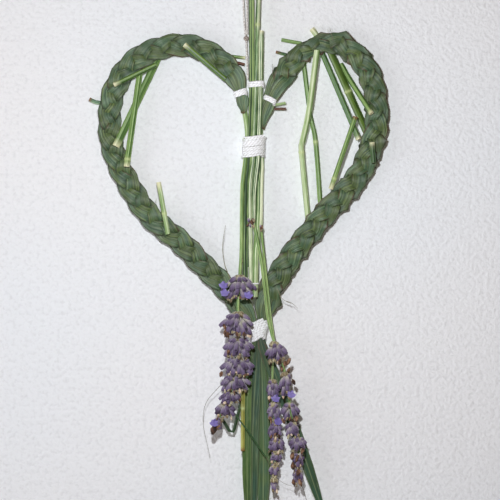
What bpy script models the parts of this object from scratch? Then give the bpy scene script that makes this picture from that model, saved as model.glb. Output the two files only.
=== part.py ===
"""Reed heart ornament: two plaited leaf arms, a stem bundle, straws, lavender and thread.

The heart stands in the XZ plane, its front faces -Y, and the wall is behind it at +Y.
All sizes below are real millimetres. Places are given from the middle of the main
binding, x to the right and z up, and the finished part hangs from the top of its
cord's loop, which is the origin.
"""
import math

import bmesh
import bpy
from mathutils import Matrix, Vector

MM = 0.001
CLEARANCE = 0.3

# The plait: three flat strands that weave round the arm's middle line
PLAIT_WIDTH = 13.2
STRAND_WIDTH = 4.9
STRAND_THICKNESS = 0.9
WEAVE_LENGTH = 33.0
WEAVE_SLACK = 0.55
STRAND_ROLL = math.radians(27.0)
STATIONS_PER_WEAVE = 9
SWING = (PLAIT_WIDTH - STRAND_WIDTH) / 2
LAYER_RISE = (STRAND_THICKNESS + WEAVE_SLACK) / math.sin(math.radians(60.0))

# How the arms are gathered at their two ends
TIE_GATHER = 0.3
TIE_STRAIGHT = 11.0
POINT_STRAIGHT = 7.5
GATHER_LENGTH = 15.0

# Each arm's middle line, from the cut ends below its tie to the heart's point; which way its
# strands lie over each other; and how far its cut ends spread
ARMS = {
    "plait_left": {
        "line": [(-5.9, 20.6), (-7.4, 29.8), (-12.2, 41.0), (-23.4, 51.2), (-36.0, 56.1),
                 (-48.7, 55.6), (-61.3, 51.2), (-70.7, 42.9), (-77.3, 31.9), (-79.7, 19.3),
                 (-79.4, 5.5), (-75.4, -8.0), (-70.1, -18.7), (-63.0, -30.8), (-54.2, -41.3),
                 (-41.0, -51.7), (-29.4, -63.8), (-20.1, -73.0), (-11.8, -82.0), (-6.3, -88.6),
                 (-2.3, -93.6), (-0.4, -98.0), (-0.3, -102.0)],
        "over": 1, "cut_ends": 0.3},
    "plait_right": {
        "line": [(6.3, 15.4), (6.8, 20.0), (8.6, 26.0), (14.2, 37.0), (23.4, 49.5),
                 (32.6, 55.9), (41.5, 57.8), (49.4, 56.0), (57.2, 49.5), (64.0, 39.1),
                 (66.8, 27.5), (67.4, 16.5), (66.3, 7.0), (63.0, -3.2), (58.3, -13.6),
                 (51.4, -23.1), (42.6, -32.4), (33.2, -43.5), (23.4, -55.6), (16.2, -66.0),
                 (10.2, -76.0), (6.9, -83.6), (4.9, -91.0), (3.9, -97.0), (3.7, -102.0)],
        "over": -1, "cut_ends": 0.05},
}

# Thread
THREAD_WIDTH = 1.3
THREAD_THICKNESS = 0.8
THREAD_SIDES = 12
HELD_REACH = 14.0
HELD_SPACING = 1.2
LEVEL_SHARE = 0.35

# Bindings: what each holds, then its middle, the way its turns are stacked and its height
BINDINGS = {
    "left_arm_tie": ("left", (-7.4, 0, 29.9), (-0.16, 0, 1), 4.7),
    "right_arm_tie": ("right", (8.6, 0, 26.0), (0.5, 0, 0.86), 3.6),
    "centre_tie": ("bundle", (1.0, 0, 34.6), (0, 0, 1), 4.4),
    "main_binding": ("bundle", (0.3, 0, 0.3), (0, 0, 1), 13.7),
    "lower_binding": ("point", (1.6, 0, -101.2), (0, 0, 1), 14.4),
    "thread_ring": ("ringed_stem", (0.4, -4.2, -75.0), (0, 0, 1), 0.9),
}

# The hanging cord, from the centre tie up through its knot to the loop for a nail
CORD_DIAMETER = 1.4
KNOT_RADIUS = 1.5
KNOT_MIDDLE = (-4.5, -1.2, 60.0)
LOOP_TOP = 104.0
LOOP_MIDDLE_X = -5.1

CORD_ROUTE = [(-3.6, -1.7, 37.6), (-3.8, -1.6, 41.0), (-4.1, -1.4, 48.0), (-4.4, -1.2, 54.0),
              (-4.5, -1.2, 58.2)]
LOOP_ROUTE = [(-5.0, -1.2, 61.9), (-5.4, -1.2, 66.0), (-5.9, -1.2, 73.0), (-6.1, -1.2, 81.0),
              (-6.2, -1.2, 87.0), (-6.9, -1.2, 92.0), (-7.8, -1.2, 96.5), (-7.8, -1.2, 100.5),
              (-6.8, -1.2, 102.7), (-5.1, -1.2, 103.3), (-3.4, -1.2, 102.7), (-2.4, -1.2, 100.5),
              (-2.4, -1.2, 96.5), (-3.3, -1.2, 92.0), (-4.1, -1.2, 87.0), (-4.2, -1.2, 81.0),
              (-4.1, -1.2, 73.0), (-4.1, -1.2, 66.0), (-4.0, -1.2, 61.9)]

STEM_TAPER = 0.85

# Stem bundle: diameter, then x, depth y and height z down each stem
STEMS = {
    "stem_1": (2.4, [(-1.7, -1.5, 88.0), (-1.5, -1.5, 60.0), (-1.4, -1.5, 34.6), (-2.4, -1.9, 7.4),
                     (-2.9, -2.0, -6.9), (-4.6, -2.1, -23.6), (-5.2, -3.0, -56.6),
                     (-5.0, -4.6, -74.8)]),
    "stem_2": (1.5, [(2.3, -2.2, 86.0), (1.6, -2.2, 64.0), (0.9, -2.1, 34.6), (-0.1, -2.5, 7.4),
                     (-0.6, -2.5, -6.9), (-2.4, -2.6, -23.6), (-2.8, -3.6, -56.6),
                     (-2.7, -4.6, -79.8)]),
    "stem_3": (2.7, [(3.5, -1.3, 64.3), (3.1, -1.3, 34.6), (2.3, -1.9, 7.4), (1.8, -2.0, -6.9),
                     (0.0, -2.2, -23.6), (-0.4, -2.4, -42.0)]),
    "stem_4": (2.2, [(0.9, 1.1, 38.5), (0.9, 1.1, 34.6), (0.4, 1.2, 7.4), (0.6, 1.2, -6.9),
                     (2.3, 0.7, -23.6), (1.3, -2.2, -50.0), (0.6, -3.2, -60.0),
                     (0.3, -4.8, -82.5)]),
    "stem_5": (1.9, [(3.2, 1.7, 38.0), (3.2, 1.7, 34.6), (3.6, 1.2, 7.4), (4.3, 0.4, -6.9),
                     (3.8, -1.2, -23.6), (3.6, -2.2, -44.5)]),
    "stem_6": (2.0, [(-1.6, 1.4, 38.2), (-1.6, 1.4, 34.6), (-2.1, 1.2, 7.4), (-2.2, 1.2, -6.9),
                     (-2.8, 0.9, -23.6), (-3.0, -0.3, -66.0)]),
    "stem_7": (2.0, [(2.6, 3.5, 7.9), (2.6, 3.3, -6.9), (2.4, 2.9, -23.6), (2.6, 0.4, -62.0)]),
    "stem_8": (2.1, [(-6.2, -0.3, 18.5), (-4.9, -0.1, 7.4), (-4.6, 0.4, -6.9), (-4.7, 0.7, -11.0)]),
}
OFFCUT = (1.2, [(-4.2, -4.7, -43.6), (-2.6, -4.8, -42.0), (-0.8, -4.8, -39.2)])

# Straws: diameter, then x, z and how that point lies. An end lies on the plait's front or
# back, or takes a share of the other end's depth; a point between takes its share of the
# way from the first end's depth to the last one's.
FRONT, BACK = "front", "back"
STRAWS = {
    "left_straw_1": (2.6, [(-77.3, 34.1, FRONT), (-54.2, 45.1, FRONT)]),
    "left_straw_3": (3.2, [(-63.6, 37.6, 0.85), (-70.4, -10.8, FRONT)]),
    "left_straw_4": (2.6, [(-52.8, -19.3, 1.0), (-47.6, -47.9, FRONT)]),
    "left_straw_5": (2.9, [(-38.6, 56.4, FRONT), (-16.0, 37.3, FRONT)]),
    "left_stub_1": (1.7, [(-17.3, 51.0, BACK), (-5.2, 49.6, BACK)]),
    "left_stub_2": (1.7, [(-14.8, 48.2, BACK), (-5.5, 45.8, BACK)]),
    "left_stub_3": (2.2, [(-91.4, 26.8, 1.0), (-88.0, 25.2, 0.3), (-84.0, 24.9, 0.6),
                          (-78.0, 26.0, BACK)]),
    "right_straw_1": (3.2, [(34.4, 53.4, FRONT), (30.0, 20.4, 0.2), (26.4, 3.4, 0.5),
                            (25.8, 0.8, 0.55), (26.5, -8.0, 0.65), (29.6, -39.5, BACK)]),
    "right_straw_2": (2.5, [(26.4, 52.6, BACK), (30.6, 19.3, 0.5), (33.7, 3.3, 0.5),
                            (36.4, -33.0, BACK)]),
    "right_straw_3": (3.0, [(36.6, 54.4, BACK), (57.4, 4.2, FRONT)]),
    "right_straw_5": (2.8, [(53.0, 37.0, BACK), (64.3, 18.4, BACK)]),
    "right_straw_6": (2.6, [(55.6, 16.8, 2.7), (42.0, -23.0, FRONT)]),
    "right_straw_7": (2.8, [(64.6, 2.6, FRONT), (65.6, -8.6, FRONT)]),
    "right_stub_1": (3.0, [(31.6, 65.8, BACK), (38.0, 56.8, BACK)]),
    "right_stub_2": (2.0, [(14.8, 59.6, BACK), (26.0, 57.6, BACK)]),
    "right_stub_3": (1.6, [(11.8, 52.9, BACK), (20.5, 50.6, BACK)]),
    "right_stub_4": (1.5, [(13.0, 23.2, BACK), (17.2, 24.6, BACK)]),
    "right_stub_5": (1.4, [(12.5, 20.9, BACK), (17.4, 21.4, BACK)]),
}

# Wide flattened straws: width, thickness, then their two ends as above
FLAT_STRAWS = {
    "left_straw_2": (4.3, 1.8, [(-53.3, 49.5, BACK), (-76.2, 0.4, FRONT)]),
    "right_straw_4": (4.2, 2.2, [(41.4, 53.8, BACK), (62.0, 8.2, BACK)]),
}
SEAT_LENGTH = 14.0
SEAT_REACH = 0.6

# Lavender: the stem's route, then each whorl's top z, height and half width, and their depth
SPRIG_STEM = 1.5
SPRIG_SIDES = 12
WHORL_LOBE = 0.13
SPRIGS = {
    "lavender_left": {
        "route": [(-4.9, -2.2, 5.0), (-5.2, -2.2, -7.2), (-6.9, -2.8, -23.6), (-7.3, -4.2, -56.6),
                  (-8.3, -6.4, -73.0), (-9.0, -7.4, -84.0), (-9.2, -7.4, -98.0),
                  (-9.0, -6.8, -111.0), (-9.6, -6.2, -122.0), (-12.6, -5.8, -133.0),
                  (-17.0, -5.4, -144.0), (-21.0, -5.0, -152.0), (-23.0, -5.0, -158.0)],
        "whorls": [(-70.4, 12.6, 9.8), (-90.8, 12.2, 9.9), (-104.5, 10.2, 9.2), (-115.5, 9.2, 9.6),
                   (-125.2, 8.4, 8.9), (-134.4, 6.0, 6.0), (-141.0, 6.6, 6.2), (-148.6, 6.4, 2.6)],
        "depth": 11.5},
    "lavender_right": {
        "route": [(-0.4, -4.9, -42.2), (0.5, -5.0, -46.0), (3.6, -5.2, -62.0), (5.7, -5.5, -79.0),
                  (7.4, -6.2, -94.0), (10.4, -6.6, -105.8), (13.6, -6.6, -113.0),
                  (16.6, -6.2, -124.0), (18.8, -5.8, -137.0), (20.0, -5.6, -146.0),
                  (22.0, -5.6, -156.0), (23.8, -5.6, -164.0), (23.4, -5.4, -188.0)],
        "whorls": [(-107.2, 9.8, 6.3), (-123.2, 13.0, 3.9), (-140.3, 9.4, 5.8), (-150.7, 8.0, 4.1),
                   (-159.4, 7.0, 5.2), (-167.4, 8.0, 3.3), (-176.4, 8.0, 3.0)],
        "depth": 8.8},
    "lavender_back": {
        "route": [(3.7, -4.3, -45.2), (5.4, -3.9, -62.0), (7.4, -3.6, -79.0), (9.0, -4.1, -94.0),
                  (10.8, -3.6, -107.8), (10.0, -2.9, -121.0), (9.9, -2.9, -131.0),
                  (10.8, -2.9, -146.0), (12.0, -2.9, -163.0), (11.2, -2.9, -176.0),
                  (10.2, -2.9, -192.0)],
        "whorls": [(-127.6, 10.6, 4.1), (-140.3, 9.6, 4.1), (-151.3, 7.8, 4.7), (-159.5, 7.4, 5.2),
                   (-167.2, 6.6, 3.4), (-174.0, 7.0, 3.0), (-181.6, 7.4, 1.6)],
        "depth": 4.6},
}

# Hanging leaf blades: full width, then x, depth y and height z of the middle line
BLADE_THICKNESS = 0.5
BLADE_FOOT = 0.45
BLADE_FOOT_END = 0.2
BLADE_TIP = 0.14
BLADE_POINT_START = 0.6
BLADE_STATION = 16.0
BLADES = {
    "leaf_blade_1": (5.2, [(0.4, -1.4, -104.0), (-0.4, -1.4, -109.0), (-2.8, -1.4, -119.0),
                           (-4.0, -1.6, -138.0), (-4.2, -1.4, -165.0), (-3.9, -1.0, -196.0),
                           (-3.0, -0.6, -224.0)]),
    "leaf_blade_2": (7.2, [(0.8, -0.4, -104.0), (0.8, -0.4, -109.0), (0.0, -0.4, -120.0),
                           (-0.3, -0.4, -142.0), (-0.7, -0.3, -168.0), (-0.9, 0.0, -200.0),
                           (-1.6, 0.3, -232.0)]),
    "leaf_blade_3": (6.4, [(1.6, 0.6, -104.0), (1.8, 0.6, -109.0), (2.8, 0.6, -122.0),
                           (3.6, 0.6, -146.0), (4.4, 0.7, -170.0), (2.6, 1.0, -200.0),
                           (0.6, 1.3, -238.0)]),
    "leaf_blade_4": (4.4, [(2.9, -1.4, -104.0), (3.9, -1.4, -108.6), (5.6, -1.4, -114.0),
                           (7.6, -1.2, -121.0), (8.4, -1.0, -127.0)]),
    "leaf_blade_5": (5.0, [(4.1, -0.4, -104.0), (5.4, -0.3, -109.0), (9.6, 0.0, -120.0),
                           (17.4, 0.3, -142.0), (25.9, 0.4, -165.6), (35.5, 0.5, -194.2),
                           (43.6, 0.8, -219.0)]),
    "leaf_blade_6": (4.6, [(2.2, 1.6, -104.0), (2.8, 1.6, -109.0), (5.2, 1.6, -120.0),
                           (6.8, 1.6, -142.0), (7.3, 1.7, -168.0), (6.6, 1.9, -196.0),
                           (7.4, 2.2, -214.0)]),
}
TAIL_STRAW = (1.9, [(-3.4, -3.6, -110.0), (-5.4, -3.1, -122.0), (-6.3, -3.0, -135.0),
                    (-6.5, -3.0, -167.2)])
TAIL_STEM = (0.8, [(-11.3, -4.5, -146.0), (-6.5, -4.7, -152.4), (-3.0, -4.4, -157.0),
                   (3.0, -3.2, -166.0), (6.2, -2.7, -170.4)])
LOOPED_STEM = (1.1, [(-5.6, -0.5, -134.0), (-9.4, -0.8, -148.0), (-12.4, -1.2, -157.2),
                     (-17.6, -1.6, -150.2)])

# Colours, sRGB, roughness
LEAF = ((0.26, 0.37, 0.24), 0.55)
STEM = ((0.46, 0.60, 0.32), 0.5)
STRAW = ((0.45, 0.62, 0.28), 0.5)
COTTON = ((0.93, 0.91, 0.88), 0.85)
FLOWER = ((0.38, 0.33, 0.52), 0.8)
DRY = ((0.66, 0.62, 0.26), 0.6)


def place(x, y, z):
    """Drawing millimetres from the main binding's middle, to metres from the loop's top."""
    return Vector((x - LOOP_MIDDLE_X, y - KNOT_MIDDLE[1], z - LOOP_TOP)) * MM


def smooth(t):
    t = min(max(t, 0.0), 1.0)
    return t * t * (3 - 2 * t)


def spline(points, steps=12):
    """A smooth curve through the points: Catmull-Rom, as a fine list of vectors."""
    p = [Vector(q) for q in points]
    p = [2 * p[0] - p[1]] + p + [2 * p[-1] - p[-2]]
    fine = []
    for a, b, c, d in zip(p, p[1:], p[2:], p[3:]):
        for i in range(steps):
            t = i / steps
            fine.append(0.5 * (2 * b + (c - a) * t + (2 * a - 5 * b + 4 * c - d) * t ** 2
                               + (3 * b - a - 3 * c + d) * t ** 3))
    fine.append(p[-2])
    return fine


class Route:
    """A smooth line that is read by the distance along it."""

    def __init__(self, points):
        self.fine = spline(points)
        self.reached = [0.0]
        for a, b in zip(self.fine, self.fine[1:]):
            self.reached.append(self.reached[-1] + (b - a).length)
        self.length = self.reached[-1]

    def at(self, distance):
        distance = min(max(distance, 0.0), self.length)
        i = 0
        while self.reached[i + 1] < distance:
            i += 1
        share = (distance - self.reached[i]) / (self.reached[i + 1] - self.reached[i])
        return self.fine[i].lerp(self.fine[i + 1], share)

    def down_to(self, height):
        """The distance along the line at which it has come down to a height."""
        for distance, point in zip(self.reached, self.fine):
            if point.z <= height:
                return distance
        return self.length

    def direction(self, distance):
        reach = 1.0
        return (self.at(distance + reach) - self.at(distance - reach)).normalized()


def clear_scene():
    for item in list(bpy.data.objects):
        bpy.data.objects.remove(item)


def finish_of(name, colour, roughness):
    """One Principled material for one sub-part, from its sRGB colour."""
    material = bpy.data.materials.new(name)
    material.use_nodes = True
    shader = material.node_tree.nodes["Principled BSDF"]
    linear = [((c + 0.055) / 1.055) ** 2.4 for c in colour]
    shader.inputs["Base Color"].default_value = (*linear, 1.0)
    shader.inputs["Roughness"].default_value = roughness
    shader.inputs["Metallic"].default_value = 0.0
    return material


def keep(data, name, look, collection):
    piece = bpy.data.objects.new(name, data)
    collection.objects.link(piece)
    data.materials.append(finish_of(name, *look))
    return piece


def loft(name, rings, look, collection, closed=False):
    """A skin over rings of equal count; open ends get a cap, a closed one meets itself."""
    mesh_maker = bmesh.new()
    rows = [[mesh_maker.verts.new(place(*point)) for point in ring] for ring in rings]
    pairs = list(zip(rows, rows[1:]))
    if closed:
        pairs.append((rows[-1], rows[0]))
    for upper, lower in pairs:
        for i in range(len(upper)):
            j = (i + 1) % len(upper)
            mesh_maker.faces.new((upper[j], upper[i], lower[i], lower[j]))
    if not closed:
        mesh_maker.faces.new(rows[0])
        mesh_maker.faces.new(rows[-1][::-1])
    if mesh_maker.calc_volume(signed=True) < 0:
        bmesh.ops.reverse_faces(mesh_maker, faces=mesh_maker.faces)
    mesh = bpy.data.meshes.new(name)
    mesh_maker.to_mesh(mesh)
    mesh_maker.free()
    return keep(mesh, name, look, collection)


def tube(name, points, diameter, look, collection, tip=1.0):
    """A round stem or cord: a curve with a bevel and filled caps."""
    curve = bpy.data.curves.new(name, "CURVE")
    curve.dimensions = "3D"
    curve.bevel_depth = diameter / 2 * MM
    curve.bevel_resolution = 2
    curve.use_fill_caps = True
    line = curve.splines.new("POLY")
    line.points.add(len(points) - 1)
    for i, point in enumerate(points):
        line.points[i].co = (*place(*point), 1.0)
        line.points[i].radius = 1.0 + (tip - 1.0) * i / (len(points) - 1)
    return keep(curve, name, look, collection)


def gather(distance, length, cut_ends):
    """How far open the plait is: 1 is its full width, less at the tie and the point."""
    tied = cut_ends + (TIE_GATHER - cut_ends) * smooth(distance / TIE_STRAIGHT)
    from_tie = tied + (1 - TIE_GATHER) * smooth((distance - TIE_STRAIGHT) / GATHER_LENGTH)
    from_point = smooth((length - distance - POINT_STRAIGHT) / GATHER_LENGTH)
    return min(from_tie, from_point)


def strand_rings(route, number, over, cut_ends):
    """Sections of one strand of an arm; over says which strand lies on top in front."""
    start = TIE_STRAIGHT + GATHER_LENGTH * 0.7
    woven = route.length - start - POINT_STRAIGHT - GATHER_LENGTH * 0.8
    sixths = round(woven / WEAVE_LENGTH * 6)
    count = round(route.length / WEAVE_LENGTH * STATIONS_PER_WEAVE)
    rings = []
    for i in range(count + 1):
        distance = route.length * i / count
        share = min(max((distance - start) / woven, 0.0), 1.0)
        turn = math.radians(30 + 120 * number + 60 * sixths * share)
        opened = gather(distance, route.length, cut_ends)
        middle = route.at(distance)
        along = route.direction(distance)
        side = Vector((along.y, -along.x))
        across = SWING * opened * math.sin(turn)
        rise = LAYER_RISE * math.sin(2 * turn)
        roll = STRAND_ROLL * math.cos(3 * turn)
        half = STRAND_WIDTH / 2 * (0.66 + 0.34 * opened)
        thick = STRAND_THICKNESS / 2
        ring = []
        for a, b in ((-half, 0), (-0.6 * half, -thick), (0.6 * half, -thick),
                     (half, 0), (0.6 * half, thick), (-0.6 * half, thick)):
            u = across + a * math.cos(roll) - b * math.sin(roll)
            h = rise + a * math.sin(roll) + b * math.cos(roll)
            ring.append((middle.x + side.x * u, over * h, middle.y + side.y * u))
        rings.append(ring)
    return rings


def between_rings(rings):
    """Points all over a lofted strand, as what a thread or a straw may touch."""
    held = []
    for ring, following in zip(rings, rings[1:]):
        for a, b in zip(ring, following):
            a = Vector(a)
            b = Vector(b)
            count = max(1, round((b - a).length / HELD_SPACING))
            held += [(a.lerp(b, i / count), 0.0) for i in range(count)]
    return held + [(Vector(point), 0.0) for point in rings[-1]]


def build_plait(name, arm, collection):
    """The three strands of one arm. Gives back points all over them."""
    route = Route(arm["line"])
    held = []
    for number in range(3):
        rings = strand_rings(route, number, arm["over"], arm["cut_ends"])
        loft(f"{name}_strand_{number + 1}", rings, LEAF, collection)
        held += between_rings(rings)
    return held


def along_tube(points, diameter):
    """Closely spaced round sections of a tube, as what a thread may hold."""
    held = []
    for a, b in zip(points, points[1:]):
        a = Vector(a)
        b = Vector(b)
        count = max(1, round((b - a).length / HELD_SPACING))
        held += [(a.lerp(b, i / count), diameter / 2) for i in range(count + 1)]
    return held


def outline_round(held, middle, axis, low, high):
    """How far the thread lies out in each direction round what it holds between two heights."""
    right = Vector((axis.z, 0, -axis.x))
    near = [(p - middle, r) for p, r in held
            if low <= (p - middle).dot(axis) <= high and (p - middle).length < HELD_REACH]
    reach = []
    for i in range(THREAD_SIDES):
        angle = 2 * math.pi * i / THREAD_SIDES
        out = right * math.cos(angle) + Vector((0, -1, 0)) * math.sin(angle)
        reach.append(max(p.dot(out) + r for p, r in near) + CLEARANCE)
    return reach


def outline_points(reach, extra, middle, axis, height):
    """Corners of the outline whose sides lie at the given distances."""
    right = Vector((axis.z, 0, -axis.x))
    front = Vector((0, -1, 0))
    points = []
    step = 2 * math.pi / len(reach)
    for i in range(len(reach)):
        a = reach[i] + extra
        b = reach[(i + 1) % len(reach)] + extra
        angle = step * i
        sideways = (b - a * math.cos(step)) / math.sin(step)
        x = a * math.cos(angle) - sideways * math.sin(angle)
        y = a * math.sin(angle) + sideways * math.cos(angle)
        points.append(middle + right * x + front * y + axis * height)
    return points


def build_binding(name, held, middle, axis, height, collection):
    """Thread wound round a bundle: an oval band with one ridge for each turn."""
    middle = Vector(middle)
    axis = Vector(axis).normalized()
    half = height / 2
    upper = outline_round(held, middle, axis, -LEVEL_SHARE * height, half + 1)
    lower = outline_round(held, middle, axis, -half - 1, LEVEL_SHARE * height)
    turns = max(1, round(height / THREAD_WIDTH))
    levels = []
    for i in range(2 * turns + 1):
        share = i / (2 * turns)
        ridge = THREAD_THICKNESS if i % 2 else THREAD_THICKNESS * 0.6
        levels.append((share, ridge))
    rings = []
    for share, extra in levels + [(1.0, 0.0), (0.0, 0.0)]:
        reach = [a + (b - a) * share for a, b in zip(upper, lower)]
        rings.append(outline_points(reach, extra, middle, axis, half - height * share))
    loft(name, rings, COTTON, collection, closed=True)


def build_bindings(held, collection):
    for name, (group, middle, axis, height) in BINDINGS.items():
        build_binding(name, held[group], middle, axis, height, collection)


def seat(plait, mark, towards, radius):
    """Depth at which a straw's end lies on the plait's front or back."""
    facing = -1 if mark[2] == FRONT else 1
    start = Vector((mark[0], 0, mark[1]))
    run = Vector((towards[0], 0, towards[1])) - start
    reach = min(run.length, SEAT_LENGTH)
    run.normalize()
    highest = 0.0
    for point, size in plait:
        flat = Vector((point.x, 0, point.z)) - start
        along = min(max(flat.dot(run), 0.0), reach)
        if (flat - run * along).length < radius + SEAT_REACH:
            highest = max(highest, point.y * facing)
    return facing * (highest + CLEARANCE + radius)


def straw_points(plait, marks, radius):
    """A straw's line, from the marks that say where and how it lies."""
    depths = [seat(plait, end, inward, radius) if end[2] in (FRONT, BACK) else None
              for end, inward in ((marks[0], marks[1]), (marks[-1], marks[-2]))]
    first = marks[0][2] * depths[1] if depths[0] is None else depths[0]
    last = depths[1]
    points = [(marks[0][0], first, marks[0][1])]
    for x, z, share in marks[1:-1]:
        points.append((x, first + (last - first) * share, z))
    points.append((marks[-1][0], last, marks[-1][1]))
    return points


def flat_straw(name, ends, width, thickness, look, collection):
    """A straight squashed straw: a cylinder of oval section between its two ends."""
    start, end = (place(*point) for point in ends)
    along = end - start
    mesh_maker = bmesh.new()
    bmesh.ops.create_cone(mesh_maker, cap_ends=True, segments=10, radius1=0.5, radius2=0.5,
                          depth=along.length)
    bmesh.ops.scale(mesh_maker, vec=(width * MM, thickness * MM, 1), verts=mesh_maker.verts)
    mesh = bpy.data.meshes.new(name)
    mesh_maker.to_mesh(mesh)
    mesh_maker.free()
    straw = keep(mesh, name, look, collection)
    straw.location = (start + end) / 2
    across = along.cross(Vector((0, 1, 0))).normalized()
    straw.rotation_euler = Matrix((across, along.cross(across).normalized(),
                                   along.normalized())).transposed().to_euler()


def build_straws(plait, collection):
    for name, (diameter, marks) in STRAWS.items():
        tube(name, straw_points(plait, marks, diameter / 2), diameter, STRAW, collection)
    for name, (width, thickness, marks) in FLAT_STRAWS.items():
        ends = straw_points(plait, marks, thickness / 2)
        flat_straw(name, ends, width, thickness, STRAW, collection)


def sprig_ring(middle, along, half_width, half_depth, forward, lobe):
    side = Vector((-along.z, 0, along.x)).normalized()
    ring = []
    for i in range(SPRIG_SIDES):
        angle = 2 * math.pi * i / SPRIG_SIDES
        swell = 1 + lobe * (1 if i % 2 else -1)
        out = side * (half_width * swell * math.cos(angle))
        ring.append(middle + out + Vector((0, half_depth * swell * math.sin(angle) - forward, 0)))
    return ring


def build_sprig(name, plan, collection):
    """A lavender sprig: its stem swells into a lobed bell at each whorl."""
    route = Route(plan["route"])
    radius = SPRIG_STEM / 2
    tops = [route.down_to(top) for top, height, half in plan["whorls"]]
    marks = [(tops[0] * share, radius, 0.0) for share in (0.0, 0.25, 0.5, 0.75)]
    for at, (top, height, half) in zip(tops, plan["whorls"]):
        if at - marks[-1][0] > 3.0:
            marks.append((at, radius, 0.0))
        marks.append((at + 0.18 * height, half * 0.6, 1.0))
        marks.append((at + 0.8 * height, half, 1.0))
        marks.append((at + height, half * 0.45, 1.0))
    rings = []
    for at, half, bloom in marks:
        depth = radius + (plan["depth"] / 2 - radius) * bloom * min(1.0, half / 4.0)
        forward = (depth - radius) * bloom
        rings.append(sprig_ring(route.at(at), route.direction(at), half, depth, forward,
                                WHORL_LOBE * bloom))
    loft(name, rings, FLOWER, collection)
    return between_rings(rings[:3])


def build_blade(name, width, points, collection):
    """A long flat leaf that narrows to its tip."""
    route = Route(points)
    count = max(4, round(route.length / BLADE_STATION))
    rings = []
    for i in range(count + 1):
        share = i / count
        middle = route.at(share * route.length)
        along = route.direction(share * route.length)
        side = Vector((-along.z, 0, along.x)).normalized()
        spread = BLADE_FOOT + (1 - BLADE_FOOT) * smooth(share / BLADE_FOOT_END)
        pointed = 1 - (1 - BLADE_TIP) * smooth((share - BLADE_POINT_START) / (1 - BLADE_POINT_START))
        half = width / 2 * spread * pointed
        thick = Vector((0, BLADE_THICKNESS / 2, 0))
        rings.append([middle - side * half, middle - thick, middle + side * half, middle + thick])
    loft(name, rings, LEAF, collection)
    return between_rings(rings[:3])


def even_points(points, spacing):
    route = Route(points)
    count = round(route.length / spacing)
    return [route.at(route.length * i / count) for i in range(count + 1)]


def build_cord(collection):
    spacing = 2.6 * CORD_DIAMETER
    tube("hanging_cord", even_points(CORD_ROUTE, spacing), CORD_DIAMETER, COTTON, collection)
    tube("cord_loop", even_points(LOOP_ROUTE, spacing), CORD_DIAMETER, COTTON, collection)
    mesh_maker = bmesh.new()
    bmesh.ops.create_uvsphere(mesh_maker, u_segments=10, v_segments=6, radius=KNOT_RADIUS * MM)
    mesh = bpy.data.meshes.new("cord_knot")
    mesh_maker.to_mesh(mesh)
    mesh_maker.free()
    knot = keep(mesh, "cord_knot", COTTON, collection)
    knot.location = place(*KNOT_MIDDLE)


def main():
    clear_scene()
    collection = bpy.data.collections.new("reed_heart_ornament")
    bpy.context.scene.collection.children.link(collection)

    left, right = (build_plait(name, arm, collection) for name, arm in ARMS.items())

    stems = {}
    for name, (diameter, points) in STEMS.items():
        tube(name, points, diameter, STEM, collection, STEM_TAPER)
        stems[name] = along_tube(points, diameter)
    tube("stem_offcut", OFFCUT[1], OFFCUT[0], STEM, collection)

    sprigs = {name: build_sprig(name, plan, collection) for name, plan in SPRIGS.items()}
    bundle = sprigs["lavender_left"] + [mark for stem in stems.values() for mark in stem]

    blades = []
    for name, (width, points) in BLADES.items():
        blades += build_blade(name, width, points, collection)
    tube("tail_straw", TAIL_STRAW[1], TAIL_STRAW[0], DRY, collection)
    tube("tail_stem", TAIL_STEM[1], TAIL_STEM[0], STEM, collection)
    tube("looped_stem", LOOPED_STEM[1], LOOPED_STEM[0], LEAF, collection)

    build_bindings({"left": left, "right": right, "bundle": bundle,
                    "point": left + right + blades, "ringed_stem": stems["stem_4"]}, collection)
    build_straws(left + right, collection)
    build_cord(collection)


main()
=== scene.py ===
# %% [markdown]
# # A reed heart ornament
#
# A heart is plaited from fresh reed leaves, tied with white cotton thread to a bundle of
# stems, and dressed with straws, lavender and long hanging leaves. This lesson gives each
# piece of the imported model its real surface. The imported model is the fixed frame: its
# pieces stay where they are, and the finer pieces made here take their places.

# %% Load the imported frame
import math
import random

import bmesh
import bpy
import numpy as np
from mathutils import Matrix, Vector, noise
from mathutils.bvhtree import BVHTree


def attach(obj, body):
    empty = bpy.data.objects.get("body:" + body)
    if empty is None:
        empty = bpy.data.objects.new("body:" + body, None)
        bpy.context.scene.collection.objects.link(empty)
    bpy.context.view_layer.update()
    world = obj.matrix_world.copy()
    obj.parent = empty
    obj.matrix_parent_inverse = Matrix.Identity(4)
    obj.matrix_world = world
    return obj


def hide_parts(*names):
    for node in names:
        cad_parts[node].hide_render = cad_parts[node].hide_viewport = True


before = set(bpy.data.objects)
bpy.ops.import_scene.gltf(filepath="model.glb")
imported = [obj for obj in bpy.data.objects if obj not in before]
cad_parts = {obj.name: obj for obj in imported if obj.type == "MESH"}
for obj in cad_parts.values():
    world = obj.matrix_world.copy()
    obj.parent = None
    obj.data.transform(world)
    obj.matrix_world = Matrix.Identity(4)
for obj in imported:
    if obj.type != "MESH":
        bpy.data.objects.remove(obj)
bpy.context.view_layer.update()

# %% [markdown]
# ## Places
#
# Every place below is in real millimetres from the middle of the main binding, x to the
# right, y away from the viewer and z up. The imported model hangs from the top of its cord,
# so one function turns a place in the drawing into a point of the frame.

# %% Places in the drawing
MM = 0.001
LOOP_TOP = Vector((-5.1, -1.2, 104.0))


def place(point):
    """Drawing millimetres to the frame's metres."""
    return (Vector(point) - LOOP_TOP) * MM


print("main binding in the frame:", [round(v, 4) for v in place((0, 0, 0))])

# %% [markdown]
# ## Camera
#
# The photograph looks straight at the wall from a little over a metre away, and 500 pixels
# of it span 275 mm. A long lens at 1.3 m gives the same flat view, without any shift.

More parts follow.
